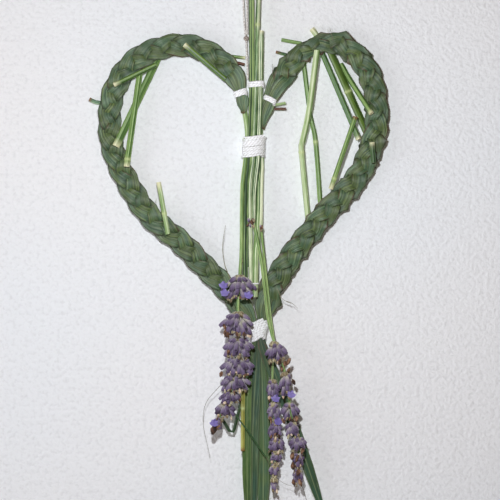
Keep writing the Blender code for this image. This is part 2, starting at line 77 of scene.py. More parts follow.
# %% Camera straight in front
PHOTO_SPAN = 0.275
CAMERA_DISTANCE = 1.3
SENSOR = 36.0
PHOTO_MIDDLE = place((-2.5, -4.0, -56.6))

camera_data = bpy.data.cameras.new("photo_camera")
camera_data.sensor_width = SENSOR
camera_data.lens = SENSOR * CAMERA_DISTANCE / PHOTO_SPAN
camera = bpy.data.objects.new("photo_camera", camera_data)
camera.location = PHOTO_MIDDLE - Vector((0, CAMERA_DISTANCE, 0))
camera.rotation_euler = (math.radians(90), 0, 0)
bpy.context.scene.collection.objects.link(camera)
bpy.context.scene.camera = camera
print("lens in mm:", round(camera_data.lens, 1))

# %% [markdown]
# ## Colours and shader nodes
#
# Colours are read off as sRGB hex values, and shaders work in linear light, so one
# function turns the first into the second. Another adds a node with its settings and links.

# %% Colour and node helpers


def paint(code):
    """The linear colour of an sRGB hex value such as 4c6a48."""
    channels = [int(code[i:i + 2], 16) / 255 for i in (0, 2, 4)]
    linear = [c / 12.92 if c <= 0.04045 else ((c + 0.055) / 1.055) ** 2.4 for c in channels]
    return (*linear, 1.0)


def add(tree, kind, inputs=None, stops=None, **settings):
    """Adds a shader node. inputs maps a socket to a value, a hex colour, a socket or a node."""
    node = tree.nodes.new(kind)
    for key, value in settings.items():
        setattr(node, key, value)
    for socket, value in (inputs or {}).items():
        if isinstance(value, bpy.types.Node):
            value = next(output for output in value.outputs if output.enabled)
        if isinstance(value, bpy.types.NodeSocket):
            tree.links.new(value, node.inputs[socket])
        elif isinstance(value, str):
            node.inputs[socket].default_value = paint(value)
        else:
            node.inputs[socket].default_value = value
    if stops:
        elements = node.color_ramp.elements
        while len(elements) < len(stops):
            elements.new(0.5)
        for element, (position, code) in zip(elements, stops):
            element.position = position
            element.color = paint(code)
    return node


def new_material(name, roughness, **constants):
    """A Principled material, its node tree and its shader, with values set on the sockets."""
    material = bpy.data.materials.new(name)
    material.use_nodes = True
    tree = material.node_tree
    shader = tree.nodes["Principled BSDF"]
    shader.inputs["Roughness"].default_value = roughness
    for socket, value in constants.items():
        shader.inputs[socket.replace("_", " ")].default_value = value
    return material, tree, shader


print("mid green in linear light:", [round(c, 3) for c in paint("4c6a48")])

# %% [markdown]
# ## Routes
#
# Strands, stems, straws and threads are all long things laid along a line. A route is a
# smooth curve through a few given points, read by the distance along it. It also
# carries a sideways direction from end to end without twisting, so that a piece modelled
# straight can be laid along it.

# %% Routes


def smooth(t):
    """An even ease from 0 to 1."""
    t = np.clip(t, 0.0, 1.0)
    return t * t * (3 - 2 * t)


def bell(distance, middle, width):
    """A bump of height 1 around a middle, which dies away over a width."""
    return np.exp(-((distance - middle) / width) ** 2)


def spline(points, steps=12):
    """A smooth curve through the points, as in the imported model."""
    p = [np.array(q, dtype=float) for q in points]
    p = [2 * p[0] - p[1]] + p + [2 * p[-1] - p[-2]]
    fine = []
    for a, b, c, d in zip(p, p[1:], p[2:], p[3:]):
        for i in range(steps):
            t = i / steps
            fine.append(0.5 * (2 * b + (c - a) * t + (2 * a - 5 * b + 4 * c - d) * t ** 2
                + (3 * b - a - 3 * c + d) * t ** 3))
    fine.append(p[-2])
    return np.array(fine)


class Route:
    """A line with its length, its directions and its untwisted sides."""

    def __init__(self, points, first_side=(1, 0, 0), fine=False):
        self.points = np.array(points, dtype=float) if fine else spline(points)
        gaps = np.linalg.norm(np.diff(self.points, axis=0), axis=1)
        self.reached = np.concatenate([[0.0], np.cumsum(gaps)])
        self.length = float(self.reached[-1])
        self.along = np.gradient(self.points, self.reached, axis=0)
        self.along /= np.linalg.norm(self.along, axis=1)[:, None]
        side = np.array(first_side, dtype=float)
        sides = []
        for direction in self.along:
            side = side - direction * side.dot(direction)
            side /= np.linalg.norm(side)
            sides.append(side)
        self.sides = np.array(sides)

    def read(self, values, distance):
        return np.stack([np.interp(distance, self.reached, values[:, k]) for k in range(3)], -1)

    def at(self, distance):
        return self.read(self.points, distance)

    def frame_at(self, distance):
        """Middle, direction, side and back of the line at distances along it."""
        along = self.read(self.along, distance)
        along /= np.linalg.norm(along, axis=-1)[..., None]
        side = self.read(self.sides, distance)
        side -= along * (side * along).sum(-1)[..., None]
        side /= np.linalg.norm(side, axis=-1)[..., None]
        return self.at(distance), along, side, np.cross(along, side)

    def down_to(self, height):
        """The distance at which the line has come down to a height."""
        lower = np.nonzero(self.points[:, 2] <= height)[0]
        return float(self.reached[lower[0]]) if len(lower) else self.length


print("a test route is", round(Route([(0, 0, 0), (0, 0, -5), (0, 0, -10)]).length, 2), "mm long")

# %% [markdown]
# ## Working by hand in edit mode
#
# New pieces start as Blender's own primitives. They are selected, cut, inset and extruded
# with the same operators that the menus call. These helpers keep each step short: one
# starts clean, one selects in edit mode by a test, and one reads or moves all points.

# %% Modelling helpers


def start_clean():
    if bpy.context.object and bpy.context.object.mode != "OBJECT":
        bpy.ops.object.mode_set(mode="OBJECT")
    bpy.ops.object.select_all(action="DESELECT")


def select_only(piece):
    start_clean()
    piece.select_set(True)
    bpy.context.view_layer.objects.active = piece


def pick(piece, mode, test):
    """In edit mode, selects only the edges or faces that pass the test."""
    bpy.ops.mesh.select_mode(type=mode)
    bpy.ops.mesh.select_all(action="DESELECT")
    form = bmesh.from_edit_mesh(piece.data)
    for item in form.edges if mode == "EDGE" else form.faces:
        item.select_set(bool(test(item)))
    bmesh.update_edit_mesh(piece.data)


def points_of(piece):
    """All points of a piece, in millimetres."""
    flat = np.empty(len(piece.data.vertices) * 3)
    piece.data.vertices.foreach_get("co", flat)
    return flat.reshape(-1, 3) / MM


def set_points(piece, points):
    """Moves all points of a piece, given in millimetres of its own straight form."""
    piece.data.vertices.foreach_set("co", (np.asarray(points) * MM).ravel())
    piece.data.update()


def put_in_frame(piece, points):
    """Moves all points of a piece to places in the drawing."""
    set_points(piece, np.asarray(points) - np.array(LOOP_TOP))


def remember(piece, name, values):
    """Stores a vector on each point, for the patterns that follow the surface."""
    attribute = piece.data.attributes.new(name, "FLOAT_VECTOR", "POINT")
    attribute.data.foreach_set("vector", np.asarray(values, dtype=float).ravel())


def finish_piece(piece, material, nodes=(), angle=50):
    """Smooth shading, its material, and its place in the frame's table."""
    select_only(piece)
    bpy.ops.object.shade_smooth_by_angle(angle=math.radians(angle))
    if material:
        piece.data.materials.clear()
        piece.data.materials.append(material)
    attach(piece, "root")
    if nodes:
        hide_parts(*nodes)
    return piece


def rod(name, length, radius, sides, rings):
    """A closed round rod, straight up from the origin, with evenly spaced rings."""
    start_clean()
    bpy.ops.mesh.primitive_cylinder_add(vertices=sides, radius=radius * MM, depth=length * MM,
        location=(0, 0, length / 2 * MM))
    piece = bpy.context.object
    piece.name = piece.data.name = name
    bpy.ops.object.transform_apply(location=True, rotation=True, scale=True)
    bpy.ops.object.mode_set(mode="EDIT")
    pick(piece, "EDGE", lambda edge: abs(edge.verts[0].co.z - edge.verts[1].co.z) > length / 2 * MM)
    bpy.ops.mesh.subdivide(number_cuts=rings)
    bpy.ops.object.mode_set(mode="OBJECT")
    return piece


def lay_along(piece, route):
    """Bends a piece that stands straight along Z so that it follows a route."""
    points = points_of(piece)
    middle, along, side, back = route.frame_at(points[:, 2])
    put_in_frame(piece, middle + side * points[:, :1] + back * points[:, 1:2])


print("modelling helpers ready")

# %% [markdown]
# ## Cotton
#
# The thread and the cord are soft white cotton of two plies. Cotton scatters light, so it
# is rough and has a little sheen. The plies of the thread are 0.5 mm wide, which is about
# a pixel of the photograph, so they are drawn twice as wide, in nearly one colour and with
# a fine bump; the darker colour between the plies is painted shade. A second attribute
# paints shade into the grooves between neighbouring turns.

# %% Cotton materials
BAND_SPACING = 0.62  # of a wave texture at scale 1


def cotton(name, light, dark, ply_width):
    """Soft cotton. light is the colour on the plies and dark the painted shade between them."""
    material, tree, shader = new_material(name, 0.9, Sheen_Weight=0.25, Sheen_Roughness=0.5)
    grain = add(tree, "ShaderNodeAttribute", attribute_name="grain").outputs["Vector"]
    plies = add(tree, "ShaderNodeTexWave", {"Vector": add(tree, "ShaderNodeMapping",
        {"Vector": grain, "Scale": (0.5, 0.5, 0.5)}), "Scale": BAND_SPACING / ply_width,
        "Distortion": 2.2, "Detail": 2.0, "Detail Scale": 1.4}, bands_direction="DIAGONAL")
    fluff = add(tree, "ShaderNodeTexNoise", {"Vector": grain, "Scale": 2.4, "Detail": 4.0})
    # The ply bands run from light on the plies to dark between them. The dark is painted shade in the
    # grooves.
    shade = add(tree, "ShaderNodeMix", {"Factor": 0.45, "A": plies.outputs["Fac"], "B": fluff},
        data_type="FLOAT")
    colour = add(tree, "ShaderNodeValToRGB", {"Fac": shade}, stops=[(0.2, dark), (0.55, light)])
    marks = add(tree, "ShaderNodeSeparateXYZ", {"Vector": add(tree, "ShaderNodeAttribute",
        attribute_name="marks").outputs["Vector"]})
    # marks Y paints shade, 8d8985, on the sides of a turn that lie against the neighbouring turns.
    between = add(tree, "ShaderNodeMix", {"Factor": marks.outputs["Y"], "A": colour, "B": "8d8985"},
        data_type="RGBA")
    tree.links.new(between.outputs["Result"], shader.inputs["Base Color"])
    bump = add(tree, "ShaderNodeBump", {"Height": shade, "Strength": 0.4, "Distance": 0.0002})
    tree.links.new(bump.outputs["Normal"], shader.inputs["Normal"])
    return material


cotton_thread = cotton("cotton_thread_soft_twist", "f8fafc", "dddcdc", 1.0)
cotton_cord = cotton("cotton_cord_two_ply", "f1eeea", "aba29a", 0.8)
cotton_soiled = cotton("cotton_knot_soiled", "a59a90", "5a4e47", 0.8)
print("cotton:", cotton_thread.name, cotton_cord.name)

# %% [markdown]
# ## The hanging cord
#
# A cord of two plies is tied in under the centre tie, runs up to a small knot and opens
# there into the loop that hangs on a nail. Its route is a list of given points,
# and the real one is one length of cord: up, round the loop, and down to the knot again.
# The section of two plies is a figure of eight, and it turns once every 4.2 mm, so the
# twist is in the shape. A thread held at both ends needs no simulation.

# %% Cord route
CORD_DIAMETER = 1.4
PLY_TURN = 4.2
KNOT_MIDDLE = (-4.5, -1.2, 60.0)
CORD_POINTS = [(-3.6, -1.7, 37.6), (-3.8, -1.6, 41), (-4.1, -1.4, 48), (-4.4, -1.2, 54),
    (-4.6, -1.2, 58.2), (-5, -1.2, 61.9), (-5.4, -1.2, 66), (-5.9, -1.2, 73), (-6.1, -1.2, 81),
    (-6.2, -1.2, 87), (-6.9, -1.2, 92), (-7.8, -1.2, 96.5), (-7.8, -1.2, 100.5), (-6.8, -1.2, 102.7),
    (-5.1, -1.2, 103.3), (-3.4, -1.2, 102.7), (-2.4, -1.2, 100.5), (-2.4, -1.2, 96.5), (-3.3, -1.2, 92),
    (-4.1, -1.2, 87), (-4.2, -1.2, 81), (-4.1, -1.2, 73), (-4.1, -1.2, 66), (-4, -1.2, 62.3)]
cord_route = Route(CORD_POINTS)
print("cord length in mm:", round(cord_route.length, 1))

# %% Cord of two twisted plies


def twist_plies(piece, diameter, turn):
    """Turns a round rod into two plies that wind round each other."""
    points = points_of(piece)
    angle = np.arctan2(points[:, 1], points[:, 0])
    far = np.hypot(points[:, 0], points[:, 1]) > 0.01
    waist = np.where(far, diameter / 2 * (0.62 + 0.38 * np.abs(np.cos(angle))), 0.0)
    angle = angle + 2 * math.pi * points[:, 2] / turn
    points[:, 0] = waist * np.cos(angle)
    points[:, 1] = waist * np.sin(angle)
    set_points(piece, points)


cord = rod("twisted_cord", cord_route.length, CORD_DIAMETER / 2, 12, 260)
remember(cord, "grain", points_of(cord))
twist_plies(cord, CORD_DIAMETER, PLY_TURN)
lay_along(cord, cord_route)
finish_piece(cord, cotton_cord, ("hanging_cord", "cord_loop"))
print("cord faces:", len(cord.data.polygons))

# %% [markdown]
# The knot is an overhand knot pulled tight, which reads as a small lumpy ball. A sphere is
# squeezed in the middle and given two turned ridges, where the cord crosses over itself.

# %% Knot
KNOT_SIZE = 1.75
KNOT_RIDGE = 0.22
KNOT_TWIST = 4.0
KNOT_SQUEEZE = (0.86, 0.8, 0.98)


def make_knot():
    start_clean()
    bpy.ops.mesh.primitive_uv_sphere_add(segments=24, ring_count=16, radius=KNOT_SIZE * MM)
    knot = bpy.context.object
    knot.name = knot.data.name = "cord_knot_tight"
    points = points_of(knot)
    angle = np.arctan2(points[:, 1], points[:, 0])
    lean = points[:, 2] / KNOT_SIZE
    ridge = np.cos(2 * angle + KNOT_TWIST * lean) * KNOT_RIDGE * (1 - lean ** 2)
    points *= (1 + ridge / KNOT_SIZE)[:, None] * np.array(KNOT_SQUEEZE)
    remember(knot, "grain", points)
    put_in_frame(knot, points + np.array(KNOT_MIDDLE))
    return finish_piece(knot, cotton_soiled, ("cord_knot",))


knot = make_knot()
print("knot is", KNOT_SIZE * 2, "mm across")

# %% [markdown]
# ## Reed leaf
#
# A reed leaf is a long blade with fine veins along it. It is a deep satin green, bluish in
# some patches and yellowish in others, with paler streaks. A paler line along its edges is a
# painted highlight, where the edges catch the light. The veins are 0.3 mm apart, too fine
# for a pixel, so they are drawn about 0.8 mm apart. The pattern reads the strand's own
# length and width, in millimetres, so it follows every bend of the plait. The second
# attribute says how near a point is to the leaf's edge, how much painted shade falls there,
# with a random darker tone for each fold, and how brown it has dried.

# %% Leaf material


def leaf(name, cool, warm, roughness=0.44, midrib=False):
    """Satin leaf. cool and warm are each a deep, a middle and a light green."""
    material, tree, shader = new_material(name, roughness, Specular_IOR_Level=0.4)
    grain = add(tree, "ShaderNodeAttribute", attribute_name="grain").outputs["Vector"]
    marks = add(tree, "ShaderNodeSeparateXYZ", {"Vector": add(tree, "ShaderNodeAttribute",
        attribute_name="marks").outputs["Vector"]})
    stretched = add(tree, "ShaderNodeMapping", {"Vector": grain, "Scale": (0.04, 1.2, 0.3)})
    veins = add(tree, "ShaderNodeTexNoise", {"Vector": stretched, "Scale": 1.0, "Detail": 4.0,
        "Roughness": 0.62})
    long_patches = add(tree, "ShaderNodeMapping", {"Vector": grain, "Scale": (0.085, 0.2, 0.1)})
    patches = add(tree, "ShaderNodeTexNoise", {"Vector": long_patches, "Scale": 1.0, "Detail": 2.0})
    which = add(tree, "ShaderNodeMapRange", {"Value": patches, "From Min": 0.43, "From Max": 0.57})
    greens = [add(tree, "ShaderNodeValToRGB", {"Fac": veins}, stops=list(zip((0.34, 0.5, 0.7), codes)))
        for codes in (cool, warm)]
    green = add(tree, "ShaderNodeMix", {"Factor": which, "A": greens[0], "B": greens[1]},
        data_type="RGBA")
    thin = add(tree, "ShaderNodeMapping", {"Vector": grain, "Scale": (0.05, 0.75, 0.3),
        "Location": (31.0, 7.0, 0.0)})
    streaks = add(tree, "ShaderNodeTexNoise", {"Vector": thin, "Scale": 1.0, "Detail": 3.0})
    streak = add(tree, "ShaderNodeMapRange", {"Value": streaks, "From Min": 0.6, "From Max": 0.72,
        "To Max": 0.5})
    # A painted highlight: a pale line, 7f8f62, along the leaf's edges, where they catch the light.
    edge_highlight = add(tree, "ShaderNodeMapRange", {"Value": marks.outputs["X"], "From Min": 0.76,
        "From Max": 0.86, "To Max": 0.3})
    rib = add(tree, "ShaderNodeMapRange", {"Value": marks.outputs["X"], "From Min": 0.16,
        "From Max": 0.04, "To Max": 0.4 if midrib else 0.0})
    colour = green
    # marks Y paints shade, 141f13, where a strand dips under its neighbours, along the leaf's edges and at
    # a blade's foot. It also carries a random darker tone for each fold.
    for share, code in ((streak, "90a079"), (edge_highlight, "7f8f62"), (rib, "8f9c70"),
            (marks.outputs["Y"], "141f13"), (marks.outputs["Z"], "5c3323")):
        colour = add(tree, "ShaderNodeMix", {"Factor": share, "A": colour, "B": code}, data_type="RGBA")
    tree.links.new(colour.outputs["Result"], shader.inputs["Base Color"])
    bump = add(tree, "ShaderNodeBump", {"Height": veins, "Strength": 0.8, "Distance": 0.0004})
    tree.links.new(bump.outputs["Normal"], shader.inputs["Normal"])
    return material


plait_leaf = leaf("reed_leaf_folded", ("2b4530", "435f40", "6f8a66"), ("33441f", "4c5f31", "73844c"))
print("leaf:", plait_leaf.name)

# %% [markdown]
# ## The plait
#
# Each arm is a flat plait of three strands, and each strand is a leaf folded lengthwise
# into a flat tube. A strand swings from side to side, rises over one neighbour and dips
# under the next, and rolls so that its edge tucks under like a roof tile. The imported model
# has narrower strands on the same waves. Here the leaf is wide, so that the strands cover
# each other, and it folds over and narrows at the plait's edges. The start is a round rod,
# cut into rings, then pressed flat and woven.

# %% The weave
WEAVE_LENGTH = 33.0
PLAIT_WIDTH = 13.5
LEAF_WIDTH = 9.8
LEAF_FOLDED = 0.27
LEAF_HALF_THICKNESS = 0.26
LAYER_RISE = 0.95
STRAND_ROLL = math.radians(15.0)
SWING = (PLAIT_WIDTH - LEAF_WIDTH * (1 - LEAF_FOLDED)) / 2
TIE_GATHER = 0.3
TIE_STRAIGHT = 11.0
POINT_CLOSED = 6.0
POINT_CLOSING = 9.0
POINT_STRAIGHT = 7.5
GATHER_LENGTH = 15.0
WEAVE_START = TIE_STRAIGHT + GATHER_LENGTH * 0.7
WEAVE_END = POINT_STRAIGHT + GATHER_LENGTH * 0.8
LOOSE_SPREAD = 1.8
FLATTER_SWING = 0.09
GATHERED_LEAF = 0.56
TORN_END = 1.6
SLANTED_CUT = 1.5
CREASE_HEIGHT = 0.12
LUMP_HEIGHT = 0.1
FOLD_TONE = 0.3
# The next value is the strength of the painted shade along each leaf's edges.
PAINTED_EDGE_SHADE = 0.75
RING_SPACING = 0.8
STRAND_SIDES = 20

ARMS = {
    "plait_left": {
        "line": [(-6.4, 18.6), (-5.9, 20.6), (-7.4, 29.8), (-12.2, 41), (-23.4, 51.2), (-36, 56.1),
            (-48.7, 55.6), (-61.3, 51.2), (-70.7, 42.9), (-77.3, 31.9), (-79.7, 19.3), (-79.4, 5.5),
            (-75.4, -8), (-70.1, -18.7), (-63, -30.8), (-54.2, -41.3), (-41, -51.7), (-29.4, -63.8),
            (-20.1, -73), (-11.8, -82), (-6.3, -88.6), (-2.3, -93.6), (-0.4, -98), (-0.3, -102)],
        "over": 1, "extra": 2, "cut_ends": 0.3, "opening": 8, "waists": [],
        "tie": 9.4, "ragged": 0.35, "taper": 7.0},
    "plait_right": {
        "line": [(4.2, 10.2), (5.2, 15.2), (6.4, 20), (8.6, 26), (14.2, 37), (23.4, 49.5), (32.6, 55.9),
            (41.5, 57.8), (49.4, 56), (57.2, 49.5), (64, 39.1), (66.8, 27.5), (67.4, 16.5), (66.3, 7),
            (63, -3.2), (58.3, -13.6), (51.4, -23.1), (42.6, -32.4), (33.2, -43.5), (23.4, -55.6),
            (16.2, -66), (10.2, -76), (6.9, -83.6), (4.9, -91), (3.9, -97), (3.7, -102)],
        "over": -1, "extra": 5.4, "cut_ends": 0.12, "opening": 15,
        "waists": [(20.5, 0.24, 7), (49, 0.26, 11)],
        "tie": 10.9, "ragged": 3.2, "taper": 12.0},
}


def gather(distance, length, cut_ends, opening):
    """How far open the plait is: 1 is its full width, less at the tie and the point."""
    tied = cut_ends + (TIE_GATHER - cut_ends) * smooth(distance / TIE_STRAIGHT)
    from_tie = tied + (1 - TIE_GATHER) * smooth((distance - TIE_STRAIGHT) / opening)
    from_point = smooth((length - distance - POINT_CLOSED) / POINT_CLOSING)
    return np.minimum(from_tie, from_point)


def noise_at(points, scale, seed):
    """Smooth noise from -1 to 1 at each point, with bumps of about the scale in mm."""
    shift = Vector((seed * 7.3, seed * 3.1, seed * 1.7))
    return np.array([noise.noise(Vector(p) / scale + shift) for p in points])


def leaf_half_width(reach, from_end, length, v, turn, opened, slim, loose, arm, seed):
    """Half the leaf's width: less at the tie, the cut, the point, the waists and the folds."""
    half = LEAF_WIDTH / 2 * (GATHERED_LEAF + (1 - GATHERED_LEAF) * opened) * (1
        - 0.2 * bell(reach, arm["tie"], 3.0))
    half = half * slim * (1 - LEAF_FOLDED * np.sin(turn) ** 2 * (1 - loose) * opened)
    half = half * (0.25 + 0.75 * smooth(from_end / arm["taper"]))
    half = half * (0.75 + 0.25 * smooth((length - reach) / 10.0))
    half = half * (1 + 0.05 * noise_at(np.stack([reach, 0 * v, 0 * v], -1), 14.0, seed + 1))
    tear = noise_at(np.stack([reach, np.sign(v) * 9.0, 0 * v], -1), 2.6, seed)
    return half + arm["ragged"] * np.maximum(tear - 0.08, 0.0) * np.abs(v) ** 6 * opened


def leaf_marks(reach, from_end, v, front, fold, loose, seed):
    """Nearness to the edge, painted shade and brownness of each point of a strand."""
    fold_tone = FOLD_TONE * np.modf(np.abs(np.sin(fold * 12.9 + seed * 4.1)) * 43.7)[0]
    # Painted shade where the strand lies deeper than the strands over it, and a random darker tone for each
    # fold.
    shade = np.maximum(0.95 * smooth((-0.1 - front) / 0.34), fold_tone) * (1 - loose)
    # Painted shade: a dark line along each edge of the leaf, where the neighbouring strand casts its
    # shadow.
    shade = np.maximum(shade, PAINTED_EDGE_SHADE * smooth((np.abs(v) - 0.88) / 0.08))
    dry_edge = noise_at(np.stack([reach, np.sign(v) * 20, 0 * v], -1), 9.0, seed + 2)
    brown = 0.6 * smooth((dry_edge - 0.1) * 3.0) * smooth((np.abs(v) - 0.84) / 0.16)
    brown = np.maximum(brown, 0.8 * (1 - smooth(from_end / 1.6)))
    return np.stack([np.abs(v), shade, brown], -1)


def weave(points, route, number, arm, seed):
    """Presses a straight rod flat and weaves it into its arm. Gives back places and marks."""
    angle = np.arctan2(points[:, 1], points[:, 0])
    out = np.minimum(np.hypot(points[:, 0], points[:, 1]), 1.0)
    v = out * np.cos(angle)
    layer = np.sign(np.sin(angle)) * np.abs(np.sin(angle)) ** 0.7 * out
    torn = noise_at(np.stack([v * 3.4, layer, 0 * v], -1), 1.0, seed)
    from_end = points[:, 2]
    from_end = from_end + (TORN_END * torn + SLANTED_CUT * v * arm["over"]) * (1 - smooth(from_end / 5.0))
    reach = from_end - arm["extra"]
    length = route.length - arm["extra"]
    woven = length - WEAVE_START - WEAVE_END
    sixths = round(woven / WEAVE_LENGTH * 6)
    share = np.clip((reach - WEAVE_START) / woven, 0.0, 1.0)
    turn = np.radians(30 + 120 * number + 60 * sixths * share)
    opened = gather(reach, length, arm["cut_ends"], arm["opening"])
    slim = 1.0
    for waist, amount, spread in arm["waists"]:
        slim = slim - amount * bell(reach, waist, spread)
    loose = 1 - smooth((reach - WEAVE_START + 4) / 12)
    across = SWING * opened * slim * (np.sin(turn) - FLATTER_SWING * np.sin(3 * turn)) / (1 + FLATTER_SWING)
    across = across + LOOSE_SPREAD * (number - 1) * loose * opened * slim * arm["over"]
    rise = LAYER_RISE * np.sin(2 * turn)
    roll = STRAND_ROLL * np.cos(3 * turn)
    crease = CREASE_HEIGHT * noise_at(np.stack([reach / 9.0, v * 2.2, layer], -1), 1.0, seed + 5)
    lumps = LUMP_HEIGHT * noise_at(np.stack([reach, v * 3.0, 0 * v], -1), 7.0, seed + 9)
    a = leaf_half_width(reach, from_end, length, v, turn, opened, slim, loose, arm, seed) * v
    b = LEAF_HALF_THICKNESS * layer + crease * (1 - v ** 2) + lumps
    u = across + a * np.cos(roll) - b * np.sin(roll)
    height = rise + a * np.sin(roll) + b * np.cos(roll)
    middle, along, _, _ = route.frame_at(from_end)
    side = np.stack([along[:, 2], 0 * v, -along[:, 0]], -1)
    places = middle + side * u[:, None]
    places[:, 1] += arm["over"] * height
    seen_from = np.where(-arm["over"] * layer >= 0, 1.0, -1.0)
    front = -arm["over"] * seen_from * (rise + a * np.sin(roll))
    fold = np.floor((np.degrees(turn) - (30 if arm["over"] > 0 else 150)) / 180)
    return places, leaf_marks(reach, from_end, v, front, fold, loose, seed), fold


def plait_strand(name, arm_name, number):
    arm = ARMS[arm_name]
    route = Route([(x, 0.0, z) for x, z in arm["line"]])
    piece = rod(name, route.length, 1.0, STRAND_SIDES, round(route.length / RING_SPACING))
    points = points_of(piece)
    seed = number + (10 if arm_name == "plait_right" else 3)
    places, marks, fold = weave(points, route, number, arm, seed)
    remember(piece, "grain", np.stack([points[:, 2] + 40 * seed, points[:, 0] * LEAF_WIDTH / 2,
        points[:, 1] + 13.7 * fold], -1))
    remember(piece, "marks", marks)
    put_in_frame(piece, places)
    return finish_piece(piece, plait_leaf, (f"{arm_name}_strand_{number + 1}",))


strands = [plait_strand(f"{arm_name}_leaf_{number + 1}", arm_name, number) for arm_name in ARMS
    for number in range(3)]
print("strands:", len(strands), "faces each:", len(strands[0].data.polygons))

# %% [markdown]
# ## Reed stems and straws
#
# Stems and straws are hollow reeds with fine ridges, a swollen node here and there, and
# pale cut ends. Each one starts as a rod. Extra rings are cut in with bisect where a node
# sits, the end faces are inset and pushed in to open the hollow, and the whole is laid
# along its line. One attribute marks how bleached, knotted or brown each point is. The
# ridges of a real stem are 0.3 mm apart, and they are drawn about 0.9 mm apart.

# %% Reed materials


def reed_material(name, groove, green, ridge, bleached="d9d6ae", roughness=0.42):
    """A ridged reed, pale at marks X, with a node's green at marks Y and dried at marks Z."""
    material, tree, shader = new_material(name, roughness, Specular_IOR_Level=0.45)
    grain = add(tree, "ShaderNodeAttribute", attribute_name="grain").outputs["Vector"]
    marks = add(tree, "ShaderNodeSeparateXYZ", {"Vector": add(tree, "ShaderNodeAttribute",
        attribute_name="marks").outputs["Vector"]})
    stretched = add(tree, "ShaderNodeMapping", {"Vector": grain, "Scale": (1.15, 1.15, 0.008)})
    ridges = add(tree, "ShaderNodeTexNoise", {"Vector": stretched, "Scale": 1.0, "Detail": 2.0,
        "Roughness": 0.5})
    spots = add(tree, "ShaderNodeTexNoise", {"Vector": add(tree, "ShaderNodeMapping",
        {"Vector": grain, "Scale": (0.5, 0.5, 0.12)}), "Scale": 1.0, "Detail": 4.0})
    tone = add(tree, "ShaderNodeMix", {"Factor": 0.22, "A": ridges, "B": spots}, data_type="FLOAT")
    colour = add(tree, "ShaderNodeValToRGB", {"Fac": tone}, stops=[(0.41, groove), (0.48, green),
        (0.58, ridge)])
    for axis, code in (("X", bleached), ("Y", "bdc98e"), ("Z", "7a4a2b")):
        colour = add(tree, "ShaderNodeMix", {"Factor": marks.outputs[axis], "A": colour, "B": code},
            data_type="RGBA")
    tree.links.new(colour.outputs["Result"], shader.inputs["Base Color"])
    bump = add(tree, "ShaderNodeBump", {"Height": ridges, "Strength": 0.7, "Distance": 0.0003})
    tree.links.new(bump.outputs["Normal"], shader.inputs["Normal"])
    return material


stem_green = reed_material("reed_stem_ridged", "2f4b31", "70915a", "e0e7c4")
stem_blue = reed_material("reed_stem_blue_green", "2d4c37", "5a7f60", "b4c8a6")
# A darker copy of the ridged stem's colours, for stem 1: painted shade.
stem_top = reed_material("reed_stem_shaded", "22391f", "46643a", "9cb377")
stem_pale = reed_material("reed_stem_pale", "5d7f48", "93ae6e", "d3ddb2")
stem_dark = reed_material("reed_stem_dark", "1f331e", "2f4a2c", "4f6b40")
straw_olive = reed_material("olive_straw_flattened", "2c4115", "3f591e", "627d30")
straw_green = reed_material("green_straw_satin", "42632f", "5d7f3d", "88a561")
straw_pale = reed_material("pale_straw_satin", "78965a", "9db67c", "cbd8ae")
straw_deep = reed_material("deep_green_straw", "2e4e2b", "436939", "6f9057")
straw_bright = reed_material("bright_green_straw", "32501c", "486a25", "6f8d3f")
straw_dry = reed_material("dry_straw_yellow", "77782f", "9a9a46", "bdbb6c")
straw_brown = reed_material("dry_straw_brown", "331c14", "55301f", "7a4f36")
fibre_brown = reed_material("loose_fibre_brown", "4f4a38", "6e6850", "938d70")
pith, pith_tree, pith_shader = new_material("reed_pith_cut", 0.85)
pith_fibres = add(pith_tree, "ShaderNodeTexNoise", {"Vector": add(pith_tree,
    "ShaderNodeTexCoord").outputs["Object"], "Scale": 1800.0, "Detail": 3.0})
pith_colour = add(pith_tree, "ShaderNodeValToRGB", {"Fac": pith_fibres},
    stops=[(0.35, "b9b284"), (0.65, "e6e3c4")])
pith_tree.links.new(pith_colour.outputs["Color"], pith_shader.inputs["Base Color"])
print("reed materials ready")

# %% One reed
REED_SIDES = 18
REED_RING = 2.5
HOLLOW_DEPTH = 2.2
REED_WALL = 0.34
NODE_RINGS = (-1.1, -0.5, 0.0, 0.4, 0.9)
NODE_SWELL = 0.14
REED_SIDE = (0.93, 0.36, 0.02)


def open_end(piece, height, radius, outward):
    """Insets an end face and pushes it in, so that the reed is a tube there."""
    select_only(piece)
    bpy.ops.object.mode_set(mode="EDIT")
    pick(piece, "FACE", lambda face: abs(face.normal.z) > 0.9 and abs(face.calc_center_median().z
        - height * MM) < 0.2 * MM)
    bpy.ops.mesh.inset(thickness=radius * REED_WALL * MM)
    bpy.ops.mesh.extrude_region_move(TRANSFORM_OT_translate={"value": (0, 0,
        -outward * HOLLOW_DEPTH * MM)})
    bpy.ops.object.mode_set(mode="OBJECT")


def ring_cuts(piece, heights):
    """Cuts rings into a straight rod at the given heights."""
    select_only(piece)
    bpy.ops.object.mode_set(mode="EDIT")
    for height in heights:
        bpy.ops.mesh.select_all(action="SELECT")
        bpy.ops.mesh.bisect(plane_co=(0, 0, height * MM), plane_no=(0, 0, 1))
    bpy.ops.object.mode_set(mode="OBJECT")


def fades(height, length, ends):
    """1 at the ends of a reed and 0 from the given length in mm on, which is 0 for no fade."""
    faded = 0 * height
    for reach, from_end in zip(ends, (height, length - height)):
        if reach:
            faded = np.maximum(faded, smooth(1 - from_end / reach))
    return faded


